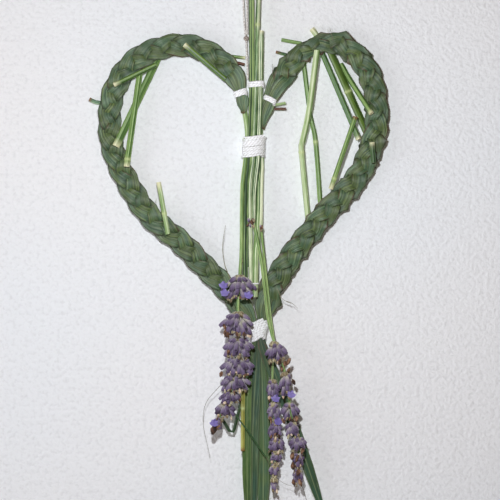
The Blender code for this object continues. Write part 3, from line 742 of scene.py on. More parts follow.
def reed(name, line, diameter, material, knots=(), pale=(0.0, 0.0), hollow=(True, True), taper=1.0,
        flat=1.0, brown=(0.0, 0.0), seed=1):
    """A ridged reed along a line. pale and brown give the length in mm at each end."""
    route = Route(line, first_side=REED_SIDE)
    radius = diameter / 2
    length = route.length
    piece = rod(name, length, radius, REED_SIDES, max(3, round(length / REED_RING)))
    ring_cuts(piece, [knot + step for knot in knots for step in NODE_RINGS])
    for end, height, outward in ((0, 0.0, -1), (1, length, 1)):
        if hollow[end]:
            open_end(piece, height, radius, outward)
    points = points_of(piece)
    height = points[:, 2].copy()
    angle = np.arctan2(points[:, 1], points[:, 0])
    remember(piece, "grain", points + np.array([seed * 11.0, seed * 5.0, 0.0]))
    swell = sum((bell(height, knot, 0.9) for knot in knots), 0 * height)
    remember(piece, "marks", np.stack([fades(height, length, pale), 0.85 * np.minimum(swell, 1.0),
        fades(height, length, brown)], -1))
    size = 1 + (taper - 1) * height / length + NODE_SWELL * swell
    size = size * (1 + 0.045 * np.cos(5 * angle + seed) + 0.02 * np.cos(11 * angle + 2 * seed))
    points[:, 0] *= size
    points[:, 1] *= size * flat
    centre = np.array([polygon.center[:] for polygon in piece.data.polygons]) / MM
    inner = (np.hypot(centre[:, 0], centre[:, 1]) < radius * 0.9) & ((centre[:, 2] < HOLLOW_DEPTH
        + 0.1) | (centre[:, 2] > length - HOLLOW_DEPTH - 0.1))
    set_points(piece, points)
    lay_along(piece, route)
    piece.data.materials.append(material)
    piece.data.materials.append(pith)
    piece.data.polygons.foreach_set("material_index", inner.astype(np.int32))
    return piece


def place_reed(piece, nodes):
    return finish_piece(piece, None, nodes, angle=40)


# %% [markdown]
# ## Stem bundle
#
# Eight stems run down the middle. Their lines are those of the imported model. Stems 1 and 2
# run up out of the photograph, stem 2 has a yellowish node, stem 3 shows its cut top, and
# the rest are cut off between the ties. Each has pale ridges with dark grooves between them.

# %% Stems
STEMS = {
    "stem_1": (3.2, stem_top, [(-1.7, -1.5, 88), (-1.5, -1.5, 60), (-1.4, -1.5, 34.6), (-2.4, -1.9, 7.4),
        (-2.9, -2, -6.9), (-4.6, -2.1, -23.6), (-5.2, -3, -56.6), (-5, -4.6, -74.8)], ()),
    "stem_2": (2.6, stem_green, [(2.3, -2.2, 86), (1.6, -2.2, 64), (0.9, -2.1, 34.6), (-0.1, -2.5, 7.4),
        (-0.6, -2.5, -6.9), (-2.4, -2.6, -23.6), (-2.1, -3.6, -56.6), (-1.9, -4.6, -79.8)], (18.5,)),
    "stem_3": (3.1, stem_green, [(3.5, -1.3, 64.3), (3.1, -1.3, 34.6), (2.3, -1.9, 7.4), (1.8, -2, -6.9),
        (0, -2.2, -23.6), (-0.4, -2.4, -42)], ()),
    "stem_4": (3.8, stem_pale, [(0.9, 1.1, 38.5), (0.9, 1.1, 34.6), (0.4, 1.2, 7.4), (0.6, 1.2, -6.9),
        (2.3, 0.7, -23.6), (1.3, -2.2, -50), (0.6, -3.2, -60), (0.3, -4.8, -82.5)], ()),
    "stem_5": (2.1, stem_green, [(3.2, 1.7, 38), (3.2, 1.7, 34.6), (3.6, 1.2, 7.4), (4.3, 0.4, -6.9),
        (3.8, -1.2, -23.6), (3.6, -2.2, -44.5)], ()),
    "stem_6": (2, stem_blue, [(-1.6, 1.4, 38.2), (-1.6, 1.4, 34.6), (-2.1, 1.2, 7.4), (-2.2, 1.2, -6.9),
        (-2.8, 0.9, -23.6), (-3, -0.3, -66)], ()),
    "stem_7": (2, stem_green, [(2.6, 3.5, 7.9), (2.6, 3.3, -6.9), (2.4, 2.9, -23.6), (2.6, 0.4, -62)],
        ()),
    "stem_8": (3, straw_pale, [(-6.2, 1.9, 22.5), (-5, 1.4, 17), (-3.9, 0.7, 7.4), (-4.4, 0.6, -6.9),
        (-4.7, 0.9, -11)], ()),
}
STEM_TAPER = 0.85

for number, (name, (diameter, look, line, knots)) in enumerate(STEMS.items()):
    stem = reed(f"{name}_reed", line, diameter, look, knots=knots, taper=STEM_TAPER, pale=(1.5, 0.0),
        seed=number + 2)
    place_reed(stem, (name,))

offcut = reed("stem_offcut_reed", [(-4.2, -4.7, -43.6), (-2.6, -4.8, -42.0), (-0.8, -4.8, -39.2)], 1.2,
    straw_brown, hollow=(False, True), seed=4)
place_reed(offcut, ("stem_offcut",))
print("stems:", len(STEMS) + 1)

# %% [markdown]
# ## Straws in the lobes
#
# Short straws are pushed into both lobes. The two wide ones are squashed flat. Most end in
# a pale cut, some have a node, and a few of the short ends behind the plait have dried.

# %% Straws
STRAWS = {
    "left_straw_1": dict(line=[(-77.3, -4.6, 34.1), (-54.2, -5.4, 45.1)], diameter=2.6,
        material=straw_bright, pale=(4, 0)),
    "left_straw_2": dict(line=[(-53.3, 2.8, 49.5), (-76.2, -3.2, 0.4)], diameter=4.3,
        material=straw_green, flat=0.45, pale=(0, 4.5)),
    "left_straw_3": dict(line=[(-63.2, -2.3, 40.4), (-70.4, -3.8, -10.8)], diameter=3.2,
        material=straw_green, knots=(47.5,), pale=(0, 3.5), hollow=(False, True)),
    "left_straw_4": dict(line=[(-52.8, -4, -19.3), (-47.6, -4, -47.9)], diameter=2.6, material=straw_pale,
        knots=(17.5,), pale=(7, 0)),
    "left_straw_5": dict(line=[(-38.6, -4.3, 56.4), (-16, -3.5, 37.3)], diameter=2.9,
        material=straw_bright, pale=(3.5, 0)),
    "left_stub_1": dict(line=[(-17.3, 2.7, 51), (-5.2, 2.7, 49.6)], diameter=1.7, material=straw_green,
        hollow=(False, True), pale=(0, 3)),
    "left_stub_2": dict(line=[(-14.8, 2.4, 48.2), (-5.5, 2.4, 45.8)], diameter=1.7, material=straw_brown,
        hollow=(False, True)),
    "left_stub_3": dict(line=[(-91.4, 4, 26.8), (-88, 4, 25.2), (-84, 4, 24.9), (-78, 4, 26)],
        diameter=2.2, material=stem_blue, brown=(2, 0)),
    "right_straw_1": dict(line=[(34.4, -3, 53.4), (30, -1.8, 20.4), (26.4, 0, 3.4), (25.8, 0.3, 0.8),
        (26.5, 0.9, -8), (29.6, 3.1, -39.5)], diameter=3.2, material=straw_pale, knots=(57,),
        hollow=(False, True)),
    "right_straw_2": dict(line=[(26.4, 4, 52.6), (30.6, 3.5, 19.3), (33.7, 3.5, 3.3), (36.4, 3.1, -33)],
        diameter=2.5, material=straw_green, knots=(50,)),
    "right_straw_3": dict(line=[(36.6, 4.2, 54.4), (57.4, -1.8, 4.2)], diameter=3, material=straw_deep,
        pale=(0, 3)),
    "right_straw_4": dict(line=[(41.4, 2, 53.8), (62, 3, 8.2)], diameter=4.2, material=straw_olive,
        flat=0.5, knots=(25,)),
    "right_straw_5": dict(line=[(47.8, 4.6, 46.4), (53, 2.6, 37), (59, -1, 27.1), (64.3, -4.6, 18.4)],
        diameter=2.8, material=straw_green, pale=(0, 3)),
    "right_straw_6": dict(line=[(55.6, -4.3, 16.8), (42, -1.6, -23)], diameter=2.6, material=straw_green,
        knots=(36,), brown=(1.6, 0), pale=(0, 5)),
    "right_straw_7": dict(line=[(64.6, -4.3, 2.6), (65.6, -4.3, -8.6)], diameter=2.8, material=stem_dark,
        pale=(3, 0)),
    "right_stub_1": dict(line=[(31.6, 3.7, 65.8), (38, 3.7, 56.8)], diameter=3, material=straw_pale,
        pale=(4, 0)),
    "right_stub_2": dict(line=[(14.8, 2.4, 59.6), (26, 2.4, 57.6)], diameter=2, material=straw_green,
        hollow=(True, False)),
    "right_stub_3": dict(line=[(11.8, 2.8, 52.9), (20.5, 2.8, 50.6)], diameter=1.6, material=straw_deep,
        brown=(3, 0)),
    "right_stub_4": dict(line=[(10.4, 1.1, 23.4), (17.2, 1.1, 24.6)], diameter=1.5, material=straw_pale),
    "right_stub_5": dict(line=[(10.2, 1, 21.4), (17.4, 1, 21.4)], diameter=1.4, material=straw_brown),
}

for number, (name, plan) in enumerate(STRAWS.items()):
    straw = reed(f"{name}_reed", seed=number + 20, **plan)
    place_reed(straw, (name,))
print("straws:", len(STRAWS))

# %% [markdown]
# ## Thread bindings
#
# White cotton thread is wound round and round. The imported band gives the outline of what
# the thread holds, so a ray is sent to the band from far outside at every step of a helix,
# and the thread's middle lies a little less than half its thickness inside that hit. A
# straight rod is then laid along the helix. Each turn sits a little unevenly, as hand-wound
# thread does. Each row below has the binding's middle, axis, height, number of turns, and
# how far in mm its turns slant and draw in, and the sideways shift for each mm of height.

# %% Wound thread
TURN_STEPS = 40
FAR_OUT = 30.0
THREAD_START = 0.6
THREAD_PRESSED = 1.04
UNEVEN_TURN = 0.12
THREAD_BEDDED = 0.42
BINDINGS = {
    "left_arm_tie": ((-7.4, 0, 29.9), (-0.16, 0, 1), 4.7, 4, 0.3, 0, 0),
    "right_arm_tie": ((8.6, 0, 26), (0.5, 0, 0.86), 3.6, 3, 0, 0, 0),
    "centre_tie": ((1, 0, 34.6), (0, 0, 1), 4.4, 3, 0.2, 0, 0),
    "main_binding": ((0.5, 0, 0.3), (0, 0, 1), 13.7, 10, 0.5, 0, 0.09),
    "lower_binding": ((1.6, 0, -101.2), (0, 0, 1), 14.6, 8, 1.3, 1.6, 0),
    "thread_ring": ((0.4, -4.2, -75), (0, 0, 1), 0.9, 1, 0, 0, 0),
}


def helix_on(node, middle, axis, height, turns, slant, pinch, shear, thread):
    """The middle line of a thread wound on a packed band. Its turns may slant and draw in."""
    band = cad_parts[node].data
    skin = BVHTree.FromPolygons([v.co.copy() for v in band.vertices],
        [tuple(p.vertices) for p in band.polygons])
    middle = Vector(middle)
    axis = Vector(axis).normalized()
    right = Vector((axis.z, 0, -axis.x))
    uneven = random.Random(node)
    lean = [uneven.uniform(-UNEVEN_TURN, UNEVEN_TURN) for _ in range(turns + 2)]
    line = []
    count = turns * TURN_STEPS
    for i in range(count + 1):
        angle = 2 * math.pi * i / TURN_STEPS + THREAD_START
        level = (height - thread) * (0.5 - i / count)
        level += lean[i // TURN_STEPS] * math.sin(angle) * thread + slant * math.cos(angle)
        out = right * math.cos(angle) + Vector((0, -1, 0)) * math.sin(angle)
        centre = middle + axis * level
        hit, _, _, _ = skin.ray_cast(place(centre + out * FAR_OUT), -out)
        reach = (hit / MM + LOOP_TOP - centre).dot(out) if hit else thread
        drawn_in = pinch * smooth(i / count) ** 2 * abs(math.cos(angle))
        line.append((centre, out, reach - drawn_in))
    reaches = np.array([reach for _, _, reach in line])
    window = np.ones(5) / 5
    even = np.convolve(np.pad(reaches, 2, mode="edge"), window, mode="valid")
    return [centre + out * (reach - thread * THREAD_BEDDED) + right * (centre - middle).dot(axis) * shear
        for (centre, out, _), reach in zip(line, even)]


def wind(node, middle, axis, height, turns, slant, pinch, shear):
    thread = min(height, height / turns * THREAD_PRESSED)
    route = Route(helix_on(node, middle, axis, height - 2 * slant, turns, slant, pinch, shear, thread),
        first_side=(0, 0, 1), fine=True)
    piece = rod(f"{node}_thread", route.length, thread / 2, 8, max(12, round(route.length / 0.9)))
    points = points_of(piece)
    remember(piece, "grain", points + np.array([0.0, 0.0, 3.0 * len(node)]))
    beside = np.abs(points[:, 0]) / np.maximum(np.hypot(points[:, 0], points[:, 1]), 0.01)
    # marks Y: painted shade on the sides of the thread that face the neighbouring turns.
    remember(piece, "marks", np.stack([0 * beside, smooth((beside - 0.72) / 0.28), 0 * beside], -1))
    fluff = 1 + 0.12 * noise_at(points * np.array([2.0, 2.0, 1.0]), 1.1, 4)
    points[:, :2] *= fluff[:, None]
    set_points(piece, points)
    lay_along(piece, route)
    return finish_piece(piece, cotton_thread, (node,), angle=60)


for node, plan in BINDINGS.items():
    print(node, "thread faces:", len(wind(node, *plan).data.polygons))

# %% [markdown]
# ## Lavender
#
# A lavender spike carries rings of small ribbed cups, the calyxes. Here the sprigs hang
# with the tip down, so the cups point down and out. They are felted, grey-green where they
# join the stem and dusky purple at the mouth. A few still hold an open violet flower, and
# some hold a dried brown or a faded one. One of each, and one small bract, is modelled and
# then copied, each copy with its own mesh, its own place and its own small differences.

# %% Lavender materials


def felt(name, stops, groove, sheen=0.3, roughness=0.8):
    """Soft plant tissue. marks X runs along the piece and marks Y says how deep a groove is, where the
    groove colour paints shade.
    """
    material, tree, shader = new_material(name, roughness, Sheen_Weight=sheen, Sheen_Roughness=0.4)
    grain = add(tree, "ShaderNodeAttribute", attribute_name="grain").outputs["Vector"]
    marks = add(tree, "ShaderNodeSeparateXYZ", {"Vector": add(tree, "ShaderNodeAttribute",
        attribute_name="marks").outputs["Vector"]})
    fibres = add(tree, "ShaderNodeTexNoise", {"Vector": grain, "Scale": 1.6, "Detail": 4.0})
    each = add(tree, "ShaderNodeTexNoise", {"Vector": grain, "Scale": 0.13, "Detail": 0.0})
    shift = add(tree, "ShaderNodeMath", {0: fibres, 1: 0.4, 2: -0.58}, operation="MULTIPLY_ADD")
    shift = add(tree, "ShaderNodeMath", {0: each, 1: 0.75, 2: shift}, operation="MULTIPLY_ADD")
    along = add(tree, "ShaderNodeMath", {0: marks.outputs["X"], 1: shift})
    colour = add(tree, "ShaderNodeValToRGB", {"Fac": along}, stops=stops)
    # Painted shade: the grooves between ribs and petals and the hollows of crumpled bits darken towards the
    # groove colour.
    depth = add(tree, "ShaderNodeMath", {0: marks.outputs["Y"], 1: 0.6}, operation="MULTIPLY")
    groove_shaded = add(tree, "ShaderNodeMix", {"Factor": depth, "A": colour, "B": groove}, data_type="RGBA")
    tree.links.new(groove_shaded.outputs["Result"], shader.inputs["Base Color"])
    bump = add(tree, "ShaderNodeBump", {"Height": fibres, "Strength": 0.5, "Distance": 0.0002})
    tree.links.new(bump.outputs["Normal"], shader.inputs["Normal"])
    return material


cup_felt = felt("lavender_cup_felt", [(0.1, "dddbc2"), (0.3, "c2b9b8"), (0.5, "a094a6"),
    (0.74, "806f90"), (0.98, "5d4b6a")], "3b3250", sheen=0.4)
petal = felt("lavender_petal", [(0.2, "6a5bb0"), (0.6, "8f80cf"), (0.9, "b0a4e0")], "57479c", sheen=0.1)
dried_petal = felt("lavender_dried_petal", [(0.25, "2f211a"), (0.5, "65432e"), (0.85, "a38164")],
    "261913", sheen=0.1)
faded_petal = felt("lavender_faded_petal", [(0.1, "a58468"), (0.4, "d8bfa0"), (0.8, "efe3cd")], "8a6a50",
    sheen=0.1)
bract = felt("lavender_bract", [(0.15, "4f3e2f"), (0.45, "8b7c5e"), (0.8, "c2bc98")], "3d3226")
lavender_stem = reed_material("lavender_stem_green", "587a42", "7f9f58", "b9cc8c")
print("lavender materials ready")

# %% One cup, one flower, one crumpled bit
CUP_SIDES = 10
CUP_RINGS = 4
PETALS = 5
CUP_SHAPE = ([0.0, 0.2, 0.5, 0.8, 1.0], [0.42, 0.8, 1.0, 0.92, 0.72])


def cup_model():
    """A ribbed cup of unit length and width, from its foot at the origin up to its mouth."""
    cup = rod("lavender_cup", 1.0, 0.5, CUP_SIDES, CUP_RINGS - 1)
    select_only(cup)
    bpy.ops.object.mode_set(mode="EDIT")
    pick(cup, "FACE", lambda face: face.normal.z > 0.9 and face.calc_center_median().z > 0.9 * MM)
    bpy.ops.mesh.inset(thickness=0.14 * MM)
    bpy.ops.mesh.extrude_region_move(TRANSFORM_OT_translate={"value": (0, 0, -0.18 * MM)})
    bpy.ops.object.mode_set(mode="OBJECT")
    points = points_of(cup)
    angle = np.arctan2(points[:, 1], points[:, 0])
    rib = np.cos(CUP_SIDES / 2 * angle)
    size = np.interp(points[:, 2], *CUP_SHAPE) * (1 + 0.1 * rib)
    points[:, :2] *= size[:, None]
    # marks Y: painted shade between the ribs of the cup.
    remember(cup, "marks", np.stack([points[:, 2], 0.5 - 0.5 * rib, 0 * rib], -1))
    set_points(cup, points)
    cup.data.materials.append(cup_felt)
    return cup


def flower_model():
    """Five petals that flare from a short throat, of unit length and width."""
    flower = rod("lavender_flower", 1.0, 0.5, 3 * PETALS, 2)
    points = points_of(flower)
    angle = np.arctan2(points[:, 1], points[:, 0])
    lobes = 0.5 + 0.5 * np.cos(PETALS * angle)
    opening = points[:, 2] ** 1.6
    size = 0.25 + opening * (0.55 + 0.5 * lobes)
    points[:, :2] *= size[:, None]
    points[:, 2] -= 0.35 * opening * lobes
    # marks Y: painted shade between the petals.
    remember(flower, "marks", np.stack([0.3 + 0.5 * opening, 1 - lobes, 0 * lobes], -1))
    set_points(flower, points)
    flower.data.materials.append(petal)
    return flower


def bit_model(name, material):
    """A small crumpled bit of unit length and width."""
    bit = rod(name, 1.0, 0.5, 7, 3)
    points = points_of(bit)
    crumple = noise_at(points, 0.45, 3)
    size = (0.35 + 0.9 * np.sin(np.clip(points[:, 2], 0.04, 0.97) * math.pi)) * (1 + 0.5 * crumple)
    points[:, :2] *= size[:, None]
    # marks Y: painted shade in the hollows of the crumpled bit.
    remember(bit, "marks", np.stack([0.5 + 0.6 * crumple, np.maximum(-crumple, 0), 0 * size], -1))
    set_points(bit, points)
    bit.data.materials.append(material)
    return bit


models = {"cup": cup_model(), "flower": flower_model(), "dried": bit_model("dried_flower", dried_petal),
    "bract": bit_model("bract", bract), "cream": bit_model("faded_flower", faded_petal)}
for name, model in models.items():
    print(name, "faces:", len(model.data.polygons))

# %% Sprigs
SPRIGS = {
    "lavender_left": {
        "route": [(-4.9, -2.2, 5), (-5.2, -2.2, -7.2), (-6.9, -2.8, -23.6), (-7.3, -4.2, -56.6),
            (-8.3, -6.4, -73), (-9, -7.4, -84), (-9.2, -7.4, -98), (-9, -6.8, -111), (-9.6, -6.2, -122),
            (-12.6, -5.8, -133), (-17, -5.4, -144), (-21, -5, -152), (-23, -5, -158)],
        "whorls": [(-70.4, 12.6, 9.8), (-90.8, 12.2, 9.9), (-104.5, 10.2, 9.2), (-115.5, 9.2, 9.6),
            (-125.2, 8.4, 8.9), (-134.4, 6, 6), (-141, 6.6, 6.2), (-148.6, 6.4, 2.6)],
        "depth": 11.5, "cup": 2.9, "stem": 2.3, "parted": [], "scraps": [],
        "flowers": [(-17, -74.8), (-16.6, -79), (-3, -80.2), (-21.8, -150.2)],
        "dried": [(-16.4, -98.6, 3), (-15.4, -102.2, 4.6), (-9.6, -102.6, 3), (-5.6, -102.8, 3),
            (-14.2, -112, 3.6), (-18.4, -124.6, 3), (-8.2, -138.4, 3.4), (-19.6, -152.4, 4.6),
            (-22.4, -155, 5.4)]},
    "lavender_right": {
        "route": [(-0.4, -4.9, -42.2), (0.5, -5, -46), (3.6, -5.2, -62), (5.7, -5.5, -79),
            (7.4, -6.2, -94), (10.4, -6.6, -105.8), (13.6, -6.6, -113), (16.6, -6.2, -124),
            (18.8, -5.8, -137), (20, -5.6, -146), (22, -5.6, -156), (23.8, -5.6, -164),
            (23.4, -5.4, -188)],
        "whorls": [(-107.2, 9.8, 6.3), (-123.2, 13, 3.9), (-140.3, 9.4, 5.8), (-150.7, 8, 4.1),
            (-159.4, 7, 5.2), (-167.4, 8, 3.3), (-176.4, 8, 3)],
        "depth": 8.8, "cup": 2.6, "stem": 2, "parted": [-123.2, -140.3],
        "scraps": [(-3.4, -40, 2.4), (-1.8, -41.6, 2.6), (-0.6, -40.4, 2.2), (-2.6, -43, 2),
            (-0.9, -43.6, 2.2)],
        "flowers": [(20.6, -134.6)],
        "dried": [(18.6, -117.6, 3.8), (13.8, -117.8, 3.4), (16.6, -118.8, 3.2), (15, -121.8, 3),
            (18.8, -122.6, 3), (21.4, -129, 3), (23, -149, 3.4), (15.8, -150.4, 3), (26.2, -166.6, 3.2),
            (20.6, -169.4, 4.2), (23.4, -170.8, 3.6), (21, -175, 4.2), (23.8, -178.4, 3.6),
            (21.4, -184, 3.4), (25, -184, 3.8)]},
    "lavender_back": {
        "route": [(3.7, -4.3, -45.2), (5.4, -3.9, -62), (7.4, -3.6, -79), (9, -4.1, -94),
            (10.8, -3.6, -107.8), (10, -2.9, -121), (9.9, -2.9, -131), (10.8, -2.9, -146),
            (12, -2.9, -163), (11.2, -2.9, -176), (10.2, -2.9, -192)],
        "whorls": [(-127.6, 10.6, 4.1), (-140.3, 9.6, 4.1), (-151.3, 7.8, 4.7), (-159.5, 7.4, 5.2),
            (-167.2, 6.6, 3.4), (-174, 7, 3), (-181.6, 7.4, 1.6)],
        "depth": 4.6, "cup": 2.5, "stem": 1.5, "parted": [],
        "scraps": [(2.8, -43.6, 2.2), (4.2, -44.2, 2.6), (3.4, -45.8, 2)],
        "flowers": [(12.2, -137.2), (12.9, -149.8)],
        "dried": [(8.6, -149, 2.6), (14, -150.6, 2.4), (13.4, -159, 2.6), (11.4, -158, 2.4)]},
}
CUP_LENGTH = 6.6
FLOWER_WIDTH = 4.4
CROWN_BRACTS = 8
CUP_ROWS = [(0.72, 0.3, 0.7), (1.0, 0.64, 1.2), (0.8, 1.0, 1.1), (0.38, 0.92, 0.6)]


def put_copy(model, foot, tip, width, droop, seed):
    """A copy of a model with its own mesh, from a foot to a tip in the drawing."""
    copied = model.copy()
    copied.data = model.data.copy()
    bpy.context.scene.collection.objects.link(copied)
    points = points_of(copied)
    reach = np.array(tip, dtype=float) - np.array(foot, dtype=float)
    length = np.linalg.norm(reach)
    aim = reach / length
    side = np.cross(aim, (0.0, 1.0, 0.05))
    side /= np.linalg.norm(side)
    back = np.cross(aim, side)
    turned = seed * 1.7
    x = points[:, 0] * math.cos(turned) - points[:, 1] * math.sin(turned)
    y = points[:, 0] * math.sin(turned) + points[:, 1] * math.cos(turned)
    remember(copied, "grain", points * np.array([width, width, length]) + seed * 9.7)
    share = points[:, 2]
    places = (np.array(foot) + aim * (share * length)[:, None] + side * (x * width)[:, None]
        + back * (y * width)[:, None])
    places[:, 2] += droop * (share - share ** 2)
    put_in_frame(copied, places)
    return copied


def whorl(plan, route, top, height, half, chance):
    """The cups of one whorl, in rows of a spread, a drop and a number for each mm of width."""
    parts = []
    stem_at = route.at(route.down_to(top - 0.15 * height))
    reach_front = plan["depth"] * 0.62 * min(1.0, half / 4.0)
    reach_back = 0.45 * reach_front
    for spread, drop, share in CUP_ROWS:
        count = max(3, round(half * share))
        first = chance.random()
        for i in range(count):
            angle = 2 * math.pi * (i + first + chance.uniform(-0.35, 0.35)) / count
            front = math.sin(angle)
            if top in plan["parted"] and front > 0 and abs(math.cos(angle)) * spread < 0.36:
                continue
            far = spread * chance.uniform(0.78, 1.05)
            depth = (reach_front if front > 0 else reach_back) * front * min(1.0, far + 0.1)
            tip = stem_at + np.array([half * far * math.cos(angle), -depth, 0.0])
            tip[2] = top - height * min(1.03, drop * chance.uniform(0.78, 1.14))
            start = stem_at * 0.75 + tip * 0.25
            start[2] = top - 0.2 * height * min(1.0, drop + 0.2)
            full = np.linalg.norm(tip - start)
            length = min(full, CUP_LENGTH * chance.uniform(0.85, 1.1))
            foot = tip + (start - tip) * length / full
            width = plan["cup"] * chance.uniform(0.74, 1.08) * min(1.0, 0.55 + half / 9)
            parts.append(put_copy(models["cup"], foot, tip, width, 1.0, chance.randint(1, 400)))
    for i in range(round(half * 1.3)):
        angle = math.pi * (i + chance.random()) / (half * 1.3)
        away = np.array([half * 0.62 * math.cos(angle), -reach_front * 0.7 * math.sin(angle), 0.0])
        foot = stem_at + away
        foot[2] = top - height * chance.uniform(0.8, 1.0)
        tip = foot + np.array([chance.uniform(-1.6, 1.6), -0.5, -chance.uniform(0.8, 3.0)])
        model = models[chance.choice(["bract", "bract", "bract", "dried", "cream"])]
        parts.append(put_copy(model, foot, tip, chance.uniform(0.7, 1.5), 0.0, chance.randint(1, 400)))
    return parts


def crown(plan, route, top, half, chance):
    """Small bracts where the cups of a whorl leave the stem."""
    parts = []
    stem_at = route.at(route.down_to(top))
    for i in range(CROWN_BRACTS):
        angle = math.pi * (i + chance.random()) / CROWN_BRACTS
        away = np.array([math.cos(angle), -0.8 * math.sin(angle), 0.0])
        foot = stem_at + away * 0.5 + np.array([0, 0, 0.5])
        tip = stem_at + away * (1.6 + 0.22 * half) + np.array([0, 0, -1.8 - chance.random()])
        parts.append(put_copy(models["bract"], foot, tip, 1.5, 0.4, chance.randint(1, 400)))
    return parts


def front_of(plan, route, x, z):
    """How far forward the whorls reach at a place seen in the photograph."""
    middle = route.at(route.down_to(z))
    for top, height, half in plan["whorls"]:
        if top - height - 3 <= z <= top:
            aside = min(1.0, abs(x - middle[0]) / (half + 0.5))
            return middle[1] - plan["depth"] * 0.6 * min(1.0, half / 4) * math.sqrt(1 - aside ** 2)
    return middle[1] - 1.0


def sprig(name, plan):
    route = Route(plan["route"])
    chance = random.Random(name)
    end = route.down_to(plan["whorls"][-1][0] - plan["whorls"][-1][1] * 0.6)
    stem = rod(f"{name}_spike", end, plan["stem"] / 2, 10, round(end / 2.5))
    points = points_of(stem)
    remember(stem, "grain", points + 17.0)
    remember(stem, "marks", 0 * points)
    angle = np.arctan2(points[:, 1], points[:, 0])
    points[:, :2] *= ((1 + 0.1 * np.cos(4 * angle)) * (1 - 0.45 * points[:, 2] / end))[:, None]
    set_points(stem, points)
    lay_along(stem, route)
    stem.data.materials.append(lavender_stem)
    parts = []
    for top, height, half in plan["whorls"]:
        parts += whorl(plan, route, top, height, half, chance)
        parts += crown(plan, route, top, half, chance)
    for x, z in plan["flowers"]:
        y = front_of(plan, route, x, z)
        aim = (x + chance.uniform(-0.8, 0.8), y - 1.6, z - 1.6)
        parts.append(put_copy(models["flower"], (x, y + 1.2, z + 0.8), aim, FLOWER_WIDTH, 0.0,
            chance.randint(1, 400)))
    for i, (x, z, size) in enumerate(plan["scraps"]):
        foot = route.at(route.down_to(z)) * np.array([0, 1, 0]) + np.array([x, -1.2, z + size / 2])
        tip = foot + np.array([chance.uniform(-1, 1), -0.3, -size])
        model = models[("cup", "dried", "bract", "cup", "bract")[i]]
        parts.append(put_copy(model, foot, tip, size * 0.6, 0.3, chance.randint(1, 400)))
    for x, z, size in plan["dried"]:
        y = front_of(plan, route, x, z) + 0.6
        lean = chance.uniform(-0.5, 0.5) * size
        parts.append(put_copy(models["dried"], (x - lean / 2, y + 0.4, z + size / 2),
            (x + lean / 2, y - 0.6, z - size / 2), size * 0.5, 0.0, chance.randint(1, 400)))
    start_clean()
    for part in parts + [stem]:
        part.select_set(True)
    bpy.context.view_layer.objects.active = stem
    bpy.ops.object.join()
    return finish_piece(stem, None, (name,), angle=70)


for name, plan in SPRIGS.items():
    print(name, "faces:", len(sprig(name, plan).data.polygons))
for model in models.values():
    bpy.data.objects.remove(model)

# %% [markdown]
# ## Hanging leaves
#
# Long reed leaves hang from the point. Each is a flat grid that is laid along its line,
# narrowed to its tip, folded a little along its midrib and given the thickness of a leaf.

# %% Leaf blades
BLADE_FOOT = 0.42
BLADE_FOOT_END = 0.3
BLADE_TIP = 0.14
BLADE_POINT_START = 0.6
BLADE_THICKNESS = 0.3
BLADE_COLUMNS = 12
BLADE_ROW = 2.2
blade_dark = leaf("reed_blade_dark", ("243f2e", "2f4f3a", "40624b"), ("283f26", "344f31", "456140"),
    midrib=True)
blade_olive = leaf("reed_blade_olive", ("2f4930", "425f40", "577353"), ("364c2c", "49623a", "5d7749"),
    midrib=True)
blade_fresh = leaf("reed_blade_fresh", ("253f1f", "3a5726", "55723c"), ("314a1e", "46622a", "667e42"),
    midrib=True)

BLADES = {
    "leaf_blade_1": (5.2, blade_fresh, 0, [(0.4, -1.4, -104), (-0.4, -1.4, -109), (-2.8, -1.4, -119),
        (-4, -1.6, -138), (-4.2, -1.4, -165), (-3.9, -1, -196), (-3, -0.6, -224)]),
    "leaf_blade_2": (7, blade_dark, 0, [(1.6, -0.4, -104), (1.7, -0.4, -109), (1, -0.4, -120),
        (-0.4, -0.4, -142), (-1.3, -0.3, -168), (-1.6, 0, -200), (-2, 0.3, -232)]),
    "leaf_blade_3": (6.4, blade_olive, 0, [(2.6, 0.6, -104), (3, 0.6, -109), (4, 0.6, -122),
        (4.6, 0.6, -146), (5, 0.7, -170), (4.6, 1, -200), (3.6, 1.3, -238)]),
    "leaf_blade_4": (4.8, blade_dark, 1, [(2.9, -1.4, -104), (3.9, -1.4, -108.6), (5.6, -1.4, -114),
        (7.6, -1.2, -121), (8.4, -1, -127)]),
    "leaf_blade_5": (6.2, blade_dark, 0, [(4.1, -0.4, -104), (5.4, -0.3, -109), (9.6, 0, -120),
        (17.4, 0.3, -142), (25.9, 0.4, -165.6), (35.5, 0.5, -194.2), (43.6, 0.8, -219)]),
    "leaf_blade_6": (4.6, blade_fresh, 0, [(2.2, 1.6, -104), (2.8, 1.6, -109), (5.2, 1.6, -120),
        (6.8, 1.6, -142), (7.3, 1.7, -168), (6.6, 1.9, -196), (7.4, 2.2, -214)]),
}


